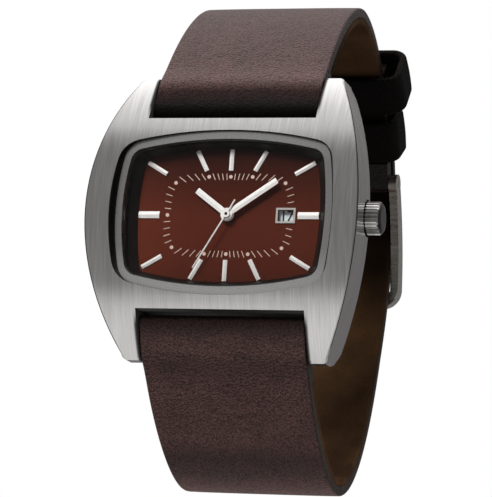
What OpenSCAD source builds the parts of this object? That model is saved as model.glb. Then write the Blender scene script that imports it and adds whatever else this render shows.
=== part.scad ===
// Wristwatch with a TV-shaped dial, an arched steel case and a buckled leather strap.
//
// Axes: +X points to 3 o'clock and the crown, +Y to 12 o'clock, +Z out of the dial.
// The strap is buckled, and the watch stands on its buckle with the dial up.
// The modules are drawn with the centre of the dial's face at zero, and stand()
// moves them so that zero is the middle of the footprint at the lowest point.

/* [Case] */
// Half width of the case from the dial centre to 9 o'clock
case_half_w = 19.54; // [19:0.01:21]
// Length of the case over its lugs
case_len = 40.2; // [39:0.1:44]
// Plan radius of the bowed sides
case_side_r = 42.15; // [40:0.05:60]
// Height of the front face's crest above the dial
case_top_z = 4.45; // [4.2:0.01:5]
// Radius of the arched front face
case_top_r = 32.8; // [30:0.1:40]
// Depth of the side band at 3 and 9 o'clock
band_h = 6.65; // [6:0.05:7.5]
// Radius of the arched underside of the side band
under_r = 38; // [34:0.5:46]
// Radius of the lug ends' lower corners
lug_tip_r = 2; // [1:0.1:2.2]
// Radius of the lug ends' outer corners in plan
lug_corner_r = 0.8; // [0.3:0.1:1.5]
// Width and depth of the fine step between the front face and the side band
edge_step = 0.2; // [0.05:0.01:0.3]
// Distance from the dial centre to the wall of each lug gap
slot_y = 13.47; // [13.3:0.01:14.2]
// Bottom of the container that holds the movement
belly_z = -4.9; // [-5.2:0.05:-4.7]
// Half width of the container
belly_half_w = 17; // [16.6:0.1:18]

/* [Window] */
// Half width of the opening in the front face
open_a = 16; // [15.6:0.05:16.4]
// Half height of the opening in the front face
open_b = 11.62; // [11.3:0.01:11.8]
// Radius of the opening's bowed long edges
open_long_r = 56; // [45:1:80]
// Radius of the opening's bowed short edges
open_short_r = 43; // [36:1:60]
// Radius of the opening's corners
open_corner_r = 3.4; // [3:0.1:4.5]
// Height of the ledge that carries the bezel ring
ledge_z = 0.2; // [0.1:0.05:0.5]
// Height of the bezel ring's crest
ring_top_z = 2.9; // [2.7:0.05:3.2]
// Radius of the arched bezel ring and crystal
ring_r = 68; // [50:1:90]
// Width of the bezel ring's rim at 3 and 9 o'clock
ring_w = 0.93; // [0.6:0.01:1.1]
// Width of the dark groove round the ring at 3 and 9 o'clock
ring_groove = 0.5; // [0.2:0.05:0.7]
// Height of the ring's foot
ring_foot_h = 0.6; // [0.3:0.05:0.9]
// Thickness of the crystal at its crest
crystal_t = 1.3; // [1:0.05:1.4]
// Thickness of the gasket round the crystal
gasket_t = 0.22; // [0.15:0.01:0.3]

/* [Dial] */
// Thickness of the dial plate
dial_t = 0.4; // [0.3:0.05:0.5]
// Height of the black flange between dial and crystal
flange_h = 1.45; // [1.4:0.05:1.6]
// Half width of the dial inside the flange
dial_a = 13.12; // [12.9:0.01:13.3]
// Half height of the dial inside the flange
dial_b = 9.42; // [9.3:0.01:9.5]
// Width of a baton marker
baton_w = 0.62; // [0.4:0.01:0.8]
// Width of the 3 and 9 o'clock markers
side_baton_w = 0.96; // [0.6:0.01:1.2]
// Height of the markers
baton_h = 0.3; // [0.2:0.01:0.35]
// Distance from the dial centre to the date window's centre
date_x = 8.24; // [8.1:0.01:8.4]
// Width of the date window's frame
date_frame_w = 2.79; // [2.6:0.01:2.9]
// Height of the date window's frame, from 6 to 12 o'clock
date_frame_h = 2.16; // [2:0.01:2.4]
// Width of the frame's border
date_border = 0.28; // [0.2:0.01:0.4]

/* [Hands] */
// Length of the hour hand from the centre
hour_len = 5.7; // [5:0.1:6.2]
// Length of the minute hand from the centre
minute_len = 8.4; // [7.5:0.1:9]
// Length of the seconds hand from the centre
seconds_len = 8.8; // [8:0.1:9.2]
// Length of the seconds hand's tail
seconds_tail = 2.3; // [1.5:0.1:3]
// Width of the hour and minute hands
hand_w = 0.88; // [0.6:0.01:1]
// Width of the seconds hand
seconds_w = 0.2; // [0.15:0.01:0.3]
// Thickness of the hour and minute hands at their ridge
hand_t = 0.16; // [0.12:0.01:0.2]
// Angle of the hour hand, clockwise from 12 o'clock
hour_angle = 306.5; // [0:0.5:360]
// Angle of the minute hand, clockwise from 12 o'clock
minute_angle = 55.2; // [0:0.5:360]
// Angle of the seconds hand, clockwise from 12 o'clock
seconds_angle = 209.7; // [0:0.5:360]

/* [Movement] */
// Radius of the movement
move_r = 10.3; // [10.2:0.05:10.4]
// Thickness of the main plate
plate_t = 1.05; // [1:0.05:1.2]
// Radius of the battery
battery_r = 3.4; // [3.1:0.05:3.4]
// Height of the battery
battery_h = 2.1; // [1.6:0.05:2.15]
// Thickness of the wheels of the going train
wheel_t = 0.15; // [0.1:0.01:0.16]
// Thickness of the wheels under the dial
motion_t = 0.22; // [0.15:0.01:0.25]

/* [Crown] */
// Height of the crown's axis relative to the dial
crown_z = -1.5; // [-1.6:0.05:-1.45]
// Radius of the crown
crown_r = 2.3; // [2.1:0.05:2.5]
// Distance from the dial centre to the crown's outer end
crown_end_x = 21.7; // [21.3:0.05:22.5]
// Distance from the dial centre to the crown's inner end
crown_in_x = 18.45; // [18.4:0.05:18.8]
// Number of flutes round the crown
crown_flutes = 28; // [20:1:36]
// Depth of the flutes
flute_d = 0.16; // [0.1:0.01:0.25]
// Radius of the stem
stem_r = 0.5; // [0.4:0.01:0.5]
// Travel of the crown between its pushed and pulled positions
crown_travel = 1.2; // [0.8:0.1:1.4]

/* [Strap] */
// Nominal width of the strap, which is the width between the lugs
strap_w = 24; // [22:0.1:24]
// How much narrower the strap is at the buckle than between the lugs
strap_taper = 3.6; // [2:0.1:6]
// Thickness of the strap
strap_t = 2.5; // [2.4:0.05:3]
// Share of the strap's thickness taken by its lining
lining_t = 1; // [0.8:0.05:1.4]
// Gap between the two layers where they lie on each other
layer_gap = 0.25; // [0.2:0.05:0.4]
// Half height of the loop at its widest place
loop_half_h = 35.9; // [34:0.1:38]
// Distance of that place below the dial
crest_z = -24.5; // [-28:0.5:-23]
// Depth of the loop below the dial, to the join between the two layers
loop_depth = 51.4; // [50:0.1:56]
// Slope of the strap where it leaves the lugs, in degrees
strap_slope = 26; // [20:1:32]
// Radius of a lug spring bar
lug_bar_r = 0.8; // [0.75:0.01:0.95]
// Distance from the lug gap's wall to the spring bar's axis
lug_bar_gap = 1.7; // [1.6:0.01:2.2]
// Height of the spring bar's axis relative to the dial
lug_bar_z = -1.1; // [-1.6:0.05:-1]

/* [Buckle] */
// Length of the buckle from its bar to the outer bar's axis
buckle_len = 17.1; // [16:0.1:19]
// Width of the buckle's arms
arm_w = 1.2; // [1.2:0.1:2]
// Thickness of the buckle's arms
arm_t = 2.8; // [2.2:0.1:3]
// How far the arms bow away from the wrist between their ends
arm_bow = 1; // [0.4:0.1:1.5]
// Radius of the buckle's spring bar
buckle_bar_r = 0.75; // [0.6:0.01:0.8]
// Width of the tongue
tongue_w = 1.7; // [1.4:0.1:2]
// Thickness of the tongue
tongue_t = 0.9; // [0.7:0.05:1]
// Width of each keeper along the strap
keeper_w = 6.4; // [6:0.1:8]
// Thickness of the keepers' leather
keeper_t = 1.1; // [1:0.05:1.4]
// Half width of the free keeper
free_keeper_half_w = 13.2; // [12.4:0.05:13.5]
// How far the free keeper has slipped towards 3 o'clock
free_keeper_shift = 0.8; // [0:0.1:1]
// Spacing of the tail's holes
hole_pitch = 6.5; // [5:0.5:8]
// Number of holes in the tail
hole_count = 4; // [3:1:5]

/* [Hidden] */
$fn = 96;
eps = 0.01;
fine = 48;

// Colours
steel = [0.72, 0.71, 0.72];
dark_steel = [0.42, 0.41, 0.42];
dial_brown = [0.31, 0.13, 0.11];
leather = [0.2, 0.13, 0.12];
lining_brown = [0.2, 0.13, 0.09];
black = [0.05, 0.05, 0.05];
brass = [0.78, 0.62, 0.3];
white = [0.95, 0.95, 0.93];

// Clearances
slide_gap = 0.05;
fit_gap = 0.1;
keeper_gap = 0.5;
keeper_side_gap = 0.9;
// The strap curves within a keeper's width, so a keeper sits this far inside the strap's line
keeper_inset = 0.2;

// Case sections and levels
under_z = case_top_z - band_h;
ring_outer_da = ring_groove;
ring_inner_da = ring_groove + ring_w;
ring_outer_db = 0.07;
ring_inner_db = 1.23;
crystal_z = flange_h;
cavity_da = 1.5;
cavity_db = 0.7;
belly_half_h = slot_y - 0.1;
back_t = 1.1;
back_boss_h = 0.5;
back_z = belly_z - back_t;
back_screw_x = 15.2;
back_screw_y = 11.7;
back_screw_r = 0.6;
dial_under_z = -dial_t;

// Movement levels, from the dial down
move_top_z = dial_under_z - slide_gap;
date_disc_t = 0.22;
plate_rim_h = 0.5;
plate_top_z = move_top_z - plate_rim_h;
plate_z = plate_top_z - plate_t;
motion_upper_z = plate_top_z + 0.12;
motion_lower_z = motion_upper_z - motion_t - 0.14;
train_step = 0.26;
train_z = [for (level = [0:3]) plate_z - 0.14 - wheel_t - level * train_step];
bridge_t = 0.3;
bridge_z = train_z[3] - 0.12 - bridge_t;
board_t = 0.2;
board_z = train_z[3] + 0.1;
battery_z = plate_z - battery_h + 0.25;
clip_t = 0.15;
clip_z = battery_z - slide_gap - clip_t;
back_boss_z = belly_z + back_boss_h;

// Motion work: cannon pinion, minute wheel and hour wheel share one centre distance
cannon_teeth = 12;
minute_wheel_teeth = 36;
minute_pinion_teeth = 10;
hour_wheel_teeth = 40;
motion_distance = 3;
motion_angle = 205;
idler_angle = 100;
driver_angle = 20;
cannon_module = 2 * motion_distance / (cannon_teeth + minute_wheel_teeth);
hour_module = 2 * motion_distance / (minute_pinion_teeth + hour_wheel_teeth);
minute_wheel_at = polar(motion_distance, motion_angle);
// Date work: the hour wheel drives the idler, whose pinion drives the date finger's wheel
idler_teeth = 32;
idler_pinion_teeth = 10;
driver_teeth = 25;
idler_at = polar(hour_module * (hour_wheel_teeth + idler_teeth) / 2, idler_angle);
driver_at = idler_at + polar(hour_module * (idler_pinion_teeth + driver_teeth) / 2, driver_angle);
hour_wheel_shift = mesh(minute_pinion_teeth, 0, motion_angle + 180, hour_wheel_teeth);
date_teeth = 31;
date_disc_r = 9.85;
date_tooth_r = 6.55;
// Going train: the centre wheel drives the third wheel, and that the fourth, at the centre again
center_teeth = 75;
third_pinion_teeth = 10;
third_teeth = 80;
fourth_pinion_teeth = 10;
fourth_teeth = 60;
inter_pinion_teeth = 8;
inter_teeth = 36;
rotor_teeth = 9;
train_distance = 2.975;
center_module = 2 * train_distance / (center_teeth + third_pinion_teeth);
third_module = 2 * train_distance / (third_teeth + fourth_pinion_teeth);
inter_distance = third_module * (fourth_teeth + inter_pinion_teeth) / 2;
rotor_module = 0.06;
rotor_distance = rotor_module * (inter_teeth + rotor_teeth) / 2;
third_angle = 315;
inter_angle = 60;
rotor_angle = 80;
third_at = polar(train_distance, third_angle);
inter_at = polar(inter_distance, inter_angle);
rotor_at = inter_at + polar(rotor_distance, rotor_angle);
rotor_r = 0.6;
battery_at = polar(6.5, 155);
coil_y = 6.3;
coil_z = train_z[2] + 0.3;
coil_r = 1;
coil_from_x = -0.4;
coil_to_x = 5.4;
clip_angle = 60;
clip_w = 1.6;
clip_reach = 4.7;
// The movement's screws: where each stands, and the level of the piece under its head
bridge_screws = [[7.6, 3.2], [7.2, -2.6]];
board_screw = [-5, -7.2];
clip_screw = battery_at + polar(clip_reach, clip_angle);
screw_seats = [[bridge_screws[0], bridge_z], [bridge_screws[1], bridge_z], [board_screw, board_z],
    [clip_screw, clip_z]];
screw_r = 0.38;
pillar_r = 0.75;
seconds_arbor_r = 0.14;
cannon_bore_r = seconds_arbor_r + 0.03;
cannon_r = 0.36;
hour_pipe_bore_r = cannon_r + 0.03;
hour_pipe_r = 0.62;
hour_hand_z = 0.5;
minute_hand_z = 0.8;
seconds_hand_z = 1.1;

// Crown and stem
crown_recess_x = crown_in_x - 0.25;
crown_recess_r = crown_r + 0.3;
tube_r = 1.1;
tube_bore_r = stem_r + 0.15;
tube_in_x = open_a - cavity_da + 0.2;
tube_out_x = crown_recess_x + 1.2;
stem_square = 0.48;
clutch_x = 7;
clutch_len = 1.3;
clutch_r = 0.6;
// The stem's square end stays in the clutch when the crown is pulled
stem_in_x = clutch_x - crown_travel - 0.2;

// Strap loop, in the plane of Y and Z, drawn as four curves from lug to lug.
// The line is where the two layers meet: the outside of the 12 o'clock strap
// and the inside of the 6 o'clock strap.
lug_bar_y = slot_y + lug_bar_gap;
strap_end_w = strap_w - strap_taper;
strap_fit_w = strap_w - 2 * slide_gap;
half_reach = strap_w / 2 + 1;
outer_t = strap_t - lining_t;
start_out = strap_t / 2;
end_out = strap_t / 2 + layer_gap;
knots = [
    [lug_bar_y + start_out * sin(strap_slope), lug_bar_z + start_out * cos(strap_slope)],
    [loop_half_h, crest_z],
    [9.5, -loop_depth],
    [-(loop_half_h - strap_t - layer_gap - 0.35), crest_z],
    [-lug_bar_y + end_out * sin(strap_slope), lug_bar_z - end_out * cos(strap_slope)]];
headings = [-strap_slope, -90, -180, -270, -360 + strap_slope];
handles = [[9.6, 9.4], [13.9, 13], [17.7, 16], [7, 10.5]];
curve_steps = 12;
// Places along the loop, counted in curves from the 12 o'clock lug
buckle_u = 1.84;
fixed_keeper_u = 1.652;
free_keeper_u = 1.437;
tail_u = 1.405;
// Where the leather folded back round a bar ends, on the same count
lug_fold_u = 3 / curve_steps;
buckle_fold_u = 21 / curve_steps;
// The leather's turn round a bar lies this far inside the strap's two faces
wrap_inset = 0.03;
loop_left_y = knots[3][0] - strap_t - layer_gap;
crest_w = strap_w - strap_taper * 0.31;

// Buckle
strap_end_fit = 0.15;
buckle_half_in = strap_end_w / 2 + strap_end_fit;
buckle_half_w = buckle_half_in + arm_w;
buckle_corner_r = 3;
bar_at = loop_point(buckle_u, -strap_t / 2);
outer_bar_t = 2.1;
outer_bar_w = 2.6;
outer_bar_y = bar_at[0] - buckle_len;
tail_under = loop_at_y(outer_bar_y + outer_bar_w / 2, strap_t + layer_gap);
outer_bar_z = tail_under - 0.15 - outer_bar_t;
keeper_h = 2 * strap_t + layer_gap + 2 * keeper_gap + 2 * keeper_t;
keeper_corner_r = 2.5;
fixed_keeper_half_w = strap_end_w / 2 + keeper_side_gap + keeper_t;
tongue_hole_y = bar_at[0] - 3.6;
tongue_out_z = min(loop_at_y(tongue_hole_y - 2, strap_t + layer_gap), outer_bar_z + outer_bar_t) - 0.12;

// Footprint and lowest point
origin_x = (crown_end_x - case_half_w) / 2;
origin_y = (loop_half_h + loop_left_y) / 2;
origin_z = min(outer_bar_z, tongue_out_z - tongue_t);

function polar(r, a) = [r * cos(a), r * sin(a)];
function arc(centre, r, from, to, steps) =
    [for (i = [0:steps]) centre + polar(r, from + (to - from) * i / steps)];
function mirrored_x(points) = [for (i = [len(points) - 1:-1:0]) [-points[i][0], points[i][1]]];
function mirrored_y(points) = [for (i = [len(points) - 1:-1:0]) [points[i][0], -points[i][1]]];
function joined(lists) = [for (list = lists) for (p = list) p];

// Outline with four bowed edges and round corners, such as the window's
function tv_outline(a, b, long_r, short_r, corner_r) =
    let (
        top = [0, b - long_r],
        side = [a - short_r, 0],
        r_top = long_r - corner_r,
        r_side = short_r - corner_r,
        d = norm(side - top),
        along = (r_top * r_top - r_side * r_side + d * d) / (2 * d),
        across = sqrt(r_top * r_top - along * along),
        dir = (side - top) / d,
        corner = top + along * dir + across * [dir[1], -dir[0]],
        top_angle = atan2(corner[1] - top[1], corner[0] - top[0]),
        side_angle = atan2(corner[1] - side[1], corner[0] - side[0]),
        quarter = joined([
            arc(side, short_r, 0, side_angle, 6),
            [for (p = arc(corner, corner_r, side_angle, top_angle, 5)) p],
            [for (i = [1:7]) top + polar(long_r, top_angle + (90 - top_angle) * i / 7)]]),
        half = joined([mirrored_y(quarter), [for (i = [1:len(quarter) - 1]) quarter[i]]]),
        right = [for (i = [1:len(half) - 2]) half[i]])
    joined([right, mirrored_x(joined([[half[0]], right, [half[len(half) - 1]]]))]);

// The window's outline, drawn in by da at the short edges and db at the long ones
function window(da, db) =
    let (inset = min(da, db))
    tv_outline(open_a - da, open_b - db, open_long_r - inset, open_short_r - inset,
        max(open_corner_r - max(da, db), 0.8));

function case_edge_x(y, inset) =
    case_half_w - inset - (case_side_r - sqrt(case_side_r * case_side_r - y * y));
function case_outline(inset) =
    let (
        end_y = case_len / 2 - inset,
        corner_y = end_y - lug_corner_r,
        corner_x = case_edge_x(corner_y, inset) - lug_corner_r,
        rise = [for (i = [0:14]) let (y = corner_y * i / 14) [case_edge_x(y, inset), y]],
        corner = arc([corner_x, corner_y], lug_corner_r, 0, 90, 4),
        quarter = joined([rise, [for (i = [1:4]) corner[i]]]),
        half = joined([mirrored_y(quarter), [for (i = [1:len(quarter) - 1]) quarter[i]]]))
    joined([half, mirrored_x(half)]);

// A point on the loop's line: u counts curves from the 12 o'clock lug, out is outwards
function curve_point(i, s) =
    let (
        p0 = knots[i],
        p3 = knots[i + 1],
        p1 = p0 + polar(handles[i][0], headings[i]),
        p2 = p3 - polar(handles[i][1], headings[i + 1]),
        t = 1 - s)
    t * t * t * p0 + 3 * t * t * s * p1 + 3 * t * s * s * p2 + s * s * s * p3;
function curve_heading(i, s) =
    let (
        p0 = knots[i],
        p3 = knots[i + 1],
        p1 = p0 + polar(handles[i][0], headings[i]),
        p2 = p3 - polar(handles[i][1], headings[i + 1]),
        t = 1 - s,
        d = t * t * (p1 - p0) + 2 * t * s * (p2 - p1) + s * s * (p3 - p2))
    d / norm(d);
function curve_index(u) = max(0, min(floor(u), len(handles) - 1));
function loop_heading(u) = curve_heading(curve_index(u), u - curve_index(u));
function loop_point(u, out) =
    let (h = loop_heading(u))
    curve_point(curve_index(u), u - curve_index(u)) + out * [-h[1], h[0]];
// A line along the loop; its inner points are the same for every line, so that layers meet
function loop_line(from, to, out) =
    let (
        first = floor(from * curve_steps) + 1,
        last = ceil(to * curve_steps) - 1,
        inner = [for (i = [first:last]) i / curve_steps])
    [for (u = joined([[from], inner, [to]])) loop_point(u, out)];
function reversed(points) = [for (i = [len(points) - 1:-1:0]) points[i]];
function loop_band(from, to, inner, outer) =
    joined([loop_line(from, to, outer), reversed(loop_line(from, to, inner))]);
// Height of the loop's back at a given y, for the curve between the buckle and the 6 o'clock side
function loop_at_y(y, out) =
    let (samples = [for (i = [0:60]) loop_point(1.55 + i / 60, out)],
        near = [for (i = [0:59]) if (samples[i][0] >= y && samples[i + 1][0] < y) i])
    let (a = samples[near[0]], b = samples[near[0] + 1])
    a[1] + (b[1] - a[1]) * (y - a[0]) / (b[0] - a[0]);

// Tooth shift, in pitches, of wheel b that meshes with wheel a in the given direction from a
function mesh(teeth_a, shift_a, direction, teeth_b) =
    direction * teeth_a / 360 - shift_a + (direction + 180) * teeth_b / 360 - 0.5;
function gear_outline(teeth, module_size, shift) =
    let (r = teeth * module_size / 2, pitch = 360 / teeth)
    [for (i = [0:teeth - 1]) for (p = [[-0.27, -1.15], [-0.12, 0.8], [0.12, 0.8], [0.27, -1.15]])
        polar(r + p[1] * module_size, (i + p[0] + shift) * pitch)];

module stand() {
    translate([-origin_x, -origin_y, -origin_z]) children();
}
// Extrudes each outline given in the plane of Y and Z along X, between two x values
module along_x(from, to) {
    translate([from, 0, 0]) rotate([90, 0, 90])
        for (i = [0:$children - 1]) linear_extrude(to - from) children(i);
}
module slab(z0, z1) {
    translate([0, 0, z0]) linear_extrude(z1 - z0) children();
}
module rod_x(from, to, r) {
    translate([from, 0, 0]) rotate([0, 90, 0]) cylinder(r = r, h = to - from);
}
// Everything under an arch about X whose crest is at z
module under_arch(z, r) {
    translate([-30, 0, z - r]) rotate([0, 90, 0]) cylinder(r = r, h = 60, $fn = 240);
}
module rounded_rect(w, h, r) {
    square([w - 2 * r, h], center = true);
    square([w, h - 2 * r], center = true);
    for (x = [-1, 1]) for (y = [-1, 1])
        translate([x * (w / 2 - r), y * (h / 2 - r)]) circle(r = r, $fn = fine);
}
module window_ring(da_out, db_out, da_in, db_in) {
    difference() {
        polygon(window(da_out, db_out));
        polygon(window(da_in, db_in));
    }
}
module wheel(teeth, module_size, z, t, shift = 0) {
    slab(z, z + t) polygon(gear_outline(teeth, module_size, shift));
}
module pivot_at(p) {
    translate([p[0], p[1], 0]) children();
}
module post(r, z0, z1) {
    translate([0, 0, z0]) cylinder(r = r, h = z1 - z0, $fn = fine);
}

// Case
module case_body() {
    intersection() {
        slab(under_z - 6, case_top_z) polygon(case_outline(0));
        under_arch(case_top_z - edge_step, case_top_r);
    }
    intersection() {
        slab(under_z, case_top_z + 1) polygon(case_outline(edge_step));
        under_arch(case_top_z, case_top_r);
    }
}
function arch_z(y) = under_z - under_r + sqrt(under_r * under_r - y * y);
module case_underside() {
    tip_y = case_len / 2;
    foot_y = tip_y - lug_tip_r;
    centre_z = arch_z(foot_y) + lug_tip_r;
    low = under_z - 12;
    right_tip = arc([foot_y, centre_z], lug_tip_r, -90, 0, 5);
    right = joined([[[0, arch_z(0)]], [for (i = [1:7]) let (y = foot_y * i / 8) [y, arch_z(y)]],
        right_tip, [[tip_y + 2, centre_z], [tip_y + 2, low]]]);
    along_x(-30, 30) polygon(joined([right, mirrored_x([for (i = [1:len(right) - 1]) right[i]])]));
}
module case_middle() {
    color(steel) difference() {
        union() {
            difference() {
                case_body();
                case_underside();
            }
            intersection() {
                slab(belly_z, under_z - 0.5 + 3)
                    rounded_rect(2 * belly_half_w, 2 * belly_half_h, 2.5);
                under_arch(case_top_z - edge_step, case_top_r);
            }
        }
        slab(ledge_z, case_top_z + 1) polygon(window(0, 0));
        slab(belly_z - 1, ledge_z + 1) polygon(window(cavity_da, cavity_db));
        for (side = [-1, 1]) {
            translate([0, side * (slot_y + 10), -2])
                cube([strap_w + 0.2, 20, 20], center = true);
            translate([0, side * lug_bar_y, lug_bar_z])
                rod_x(-strap_w / 2 - 1.3, strap_w / 2 + 1.3, 0.5, $fn = fine);
        }
        translate([0, 0, crown_z]) {
            rod_x(crown_recess_x, crown_recess_x + 6, crown_recess_r);
            rod_x(open_a - cavity_da - 1, crown_recess_x + 1, tube_r, $fn = fine);
        }
        for (x = [-1, 1]) for (y = [-1, 1]) translate([x * back_screw_x, y * back_screw_y, belly_z - 1])
            cylinder(r = back_screw_r, h = 3.2, $fn = fine);
    }
}
module bezel_ring() {
    color(steel) intersection() {
        union() {
            slab(ledge_z, case_top_z)
                window_ring(ring_outer_da, ring_outer_db, ring_inner_da, ring_inner_db);
            slab(ledge_z, ledge_z + ring_foot_h)
                window_ring(0.03, 0.03, ring_inner_da, ring_inner_db);
        }
        under_arch(ring_top_z, ring_r);
    }
}
module crystal() {
    color([0.85, 0.9, 0.92, 0.3]) intersection() {
        slab(crystal_z, case_top_z)
            polygon(window(ring_inner_da + gasket_t + 0.04, ring_inner_db + gasket_t + 0.04));
        under_arch(crystal_z + crystal_t, ring_r);
    }
}
module crystal_gasket() {
    color(black) slab(crystal_z, crystal_z + 0.45)
        window_ring(ring_inner_da + 0.02, ring_inner_db + 0.02,
            ring_inner_da + gasket_t + 0.02, ring_inner_db + gasket_t + 0.02);
}
module case_back() {
    color(steel) difference() {
        union() {
            slab(back_z, belly_z) rounded_rect(2 * belly_half_w - 0.4, 2 * belly_half_h - 0.4, 2.3);
            slab(belly_z - eps, back_boss_z) polygon(window(cavity_da + 0.6, cavity_db + 0.6));
        }
        for (x = [-1, 1]) for (y = [-1, 1]) translate([x * back_screw_x, y * back_screw_y, back_z - 1]) {
            cylinder(r = back_screw_r + slide_gap, h = 3, $fn = fine);
            cylinder(r = 1.05, h = 1.5, $fn = fine);
        }
    }
}
module case_back_gasket() {
    color(black) slab(belly_z, belly_z + 0.4)
        window_ring(cavity_da + 0.04, cavity_db + 0.04, cavity_da + 0.56, cavity_db + 0.56);
}
module case_back_screws() {
    color(dark_steel) for (x = [-1, 1]) for (y = [-1, 1])
        translate([x * back_screw_x, y * back_screw_y, back_z + 0.05]) difference() {
            union() {
                cylinder(r = 1, h = 0.45, $fn = fine);
                cylinder(r = back_screw_r - 0.02, h = 2.9, $fn = fine);
            }
            cube([3, 0.22, 0.4], center = true);
        }
}

// Crown and keyless work
module crown() {
    valley_r = crown_r - flute_d;
    outline = [for (i = [0:crown_flutes - 1])
        for (p = [[-0.3, 1], [-0.12, 0], [0.12, 0], [0.3, 1]])
            polar(crown_r - p[1] * flute_d, (i + p[0]) * 360 / crown_flutes)];
    depth = crown_end_x - crown_in_x;
    color(steel) translate([crown_in_x, 0, crown_z]) rotate([0, 90, 0]) difference() {
        intersection() {
            linear_extrude(depth) polygon(outline);
            rotate_extrude() polygon([[0, 0], [valley_r - 0.1, 0], [crown_r, 0.3],
                [crown_r, depth - 0.45], [crown_r - 0.35, depth - 0.1], [crown_r - 0.8, depth], [0, depth]]);
        }
        translate([0, 0, -1]) cylinder(r = tube_r + 0.28, h = 1 + depth - 1.1, $fn = fine);
        translate([0, 0, -1]) cylinder(r = stem_r, h = 1 + depth - 0.6, $fn = fine);
    }
}
module crown_tube() {
    color(dark_steel) translate([0, 0, crown_z]) difference() {
        rod_x(tube_in_x, tube_out_x, tube_r - 0.01, $fn = fine);
        rod_x(tube_in_x - 1, tube_out_x + 1, tube_bore_r, $fn = fine);
    }
}
module crown_gasket() {
    color(black) translate([crown_in_x + 0.35, 0, crown_z]) difference() {
        rod_x(0, 0.4, tube_r + 0.27, $fn = fine);
        rod_x(-1, 1, tube_r + 0.04, $fn = fine);
    }
}
module stem() {
    color(dark_steel) translate([0, 0, crown_z]) {
        rod_x(clutch_x + clutch_len + 0.5, crown_end_x - 0.65, stem_r - 0.01, $fn = fine);
        translate([stem_in_x, -stem_square / 2, -stem_square / 2])
            cube([clutch_x + clutch_len + 0.5 - stem_in_x, stem_square, stem_square]);
    }
}
module clutch_wheel() {
    bore = stem_square + 2 * slide_gap;
    color(brass) translate([clutch_x, 0, crown_z]) rotate([0, 90, 0]) difference() {
        union() {
            linear_extrude(clutch_len * 0.35) polygon(gear_outline(14, 2 * clutch_r / 16, 0));
            cylinder(r = clutch_r - 0.09, h = clutch_len, $fn = fine);
        }
        translate([0, 0, clutch_len / 2]) cube([bore, bore, clutch_len * 2], center = true);
    }
}

// Dial
module date_hole() {
    translate([date_x, 0]) square([date_frame_w - 2 * date_border, date_frame_h - 2 * date_border],
        center = true);
}
module dial() {
    color(dial_brown) slab(dial_under_z, 0) difference() {
        polygon(window(cavity_da + 0.15, cavity_db + 0.15));
        date_hole();
        circle(r = hour_pipe_r + 0.15, $fn = fine);
    }
}
module dial_flange() {
    outer = window(cavity_da + 0.1, ring_inner_db + 0.08);
    lower_da = open_a - dial_a;
    lower_db = open_b - dial_b;
    grow_x = (open_a - ring_inner_da - 0.5) / dial_a;
    grow_y = (open_b - ring_inner_db - 0.35) / dial_b;
    color(black) difference() {
        slab(0, flange_h) polygon(outer);
        slab(-1, 0.2) polygon(window(lower_da, lower_db));
        translate([0, 0, 0.15]) linear_extrude(flange_h - 0.1, scale = [grow_x, grow_y], slices = 1)
            polygon(window(lower_da, lower_db));
    }
}
// A marker with a roof of two bevels, from one point to another
module baton(from, to, w) {
    d = to - from;
    translate([from[0], from[1], 0]) rotate([0, 0, atan2(d[1], d[0])])
        rotate([90, 0, 90]) linear_extrude(norm(d))
            polygon([[-w / 2, 0], [w / 2, 0], [w / 2, baton_h * 0.45], [0, baton_h], [-w / 2, baton_h * 0.45]]);
}
module hour_markers() {
    color(white) {
        for (side = [-1, 1]) {
            baton([0, side * 6.32], [0, side * 9.3], baton_w);
            baton([side * 9.98, 0], [side * 13, 0], side_baton_w);
            for (x = [-1, 1]) {
                baton([x * 3.48, side * 6.27], [x * 4.98, side * 9.06], baton_w);
                baton([x * 9.28, side * 5.81], [x * 12.05, side * 7.43], baton_w);
            }
        }
    }
}
module date_window_frame() {
    color(white) translate([date_x, 0, 0]) slab(0, 0.16) difference() {
        square([date_frame_w, date_frame_h], center = true);
        square([date_frame_w - 2 * date_border, date_frame_h - 2 * date_border], center = true);
    }
}
module date_disc() {
    color(white) slab(plate_top_z + 0.14, plate_top_z + 0.14 + date_disc_t) difference() {
        circle(r = date_disc_r);
        polygon([for (i = [0:date_teeth - 1]) for (p = [[-0.28, 0], [-0.12, 0.45], [0.12, 0.45], [0.28, 0]])
            polar(date_tooth_r + p[1], (i + p[0]) * 360 / date_teeth)]);
    }
}

// Hands
module hand(length, tail, w, z, t, hub_r, bore_r) {
    difference() {
        union() {
            translate([0, -tail, z]) rotate([90, 0, 180]) linear_extrude(length + tail)
                polygon([[-w / 2, 0], [w / 2, 0], [w / 2, t * 0.4], [0, t], [-w / 2, t * 0.4]]);
            translate([0, 0, z]) cylinder(r = hub_r, h = t, $fn = fine);
        }
        translate([0, 0, z - 1]) cylinder(r = bore_r, h = 1 + t * 2, $fn = fine);
    }
}
module hour_hand() {
    color(white) rotate([0, 0, -hour_angle])
        hand(hour_len, 0, hand_w, hour_hand_z, hand_t, 0.95, hour_pipe_r);
}
module minute_hand() {
    color(white) rotate([0, 0, -minute_angle])
        hand(minute_len, 0, hand_w, minute_hand_z, hand_t, 0.8, cannon_r);
}
module seconds_hand() {
    color(white) rotate([0, 0, -seconds_angle]) {
        hand(seconds_len, seconds_tail, seconds_w, seconds_hand_z, 0.1, 0.5, seconds_arbor_r);
        post(0.5, seconds_hand_z + 0.1, seconds_hand_z + 0.16);
    }
}

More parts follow.
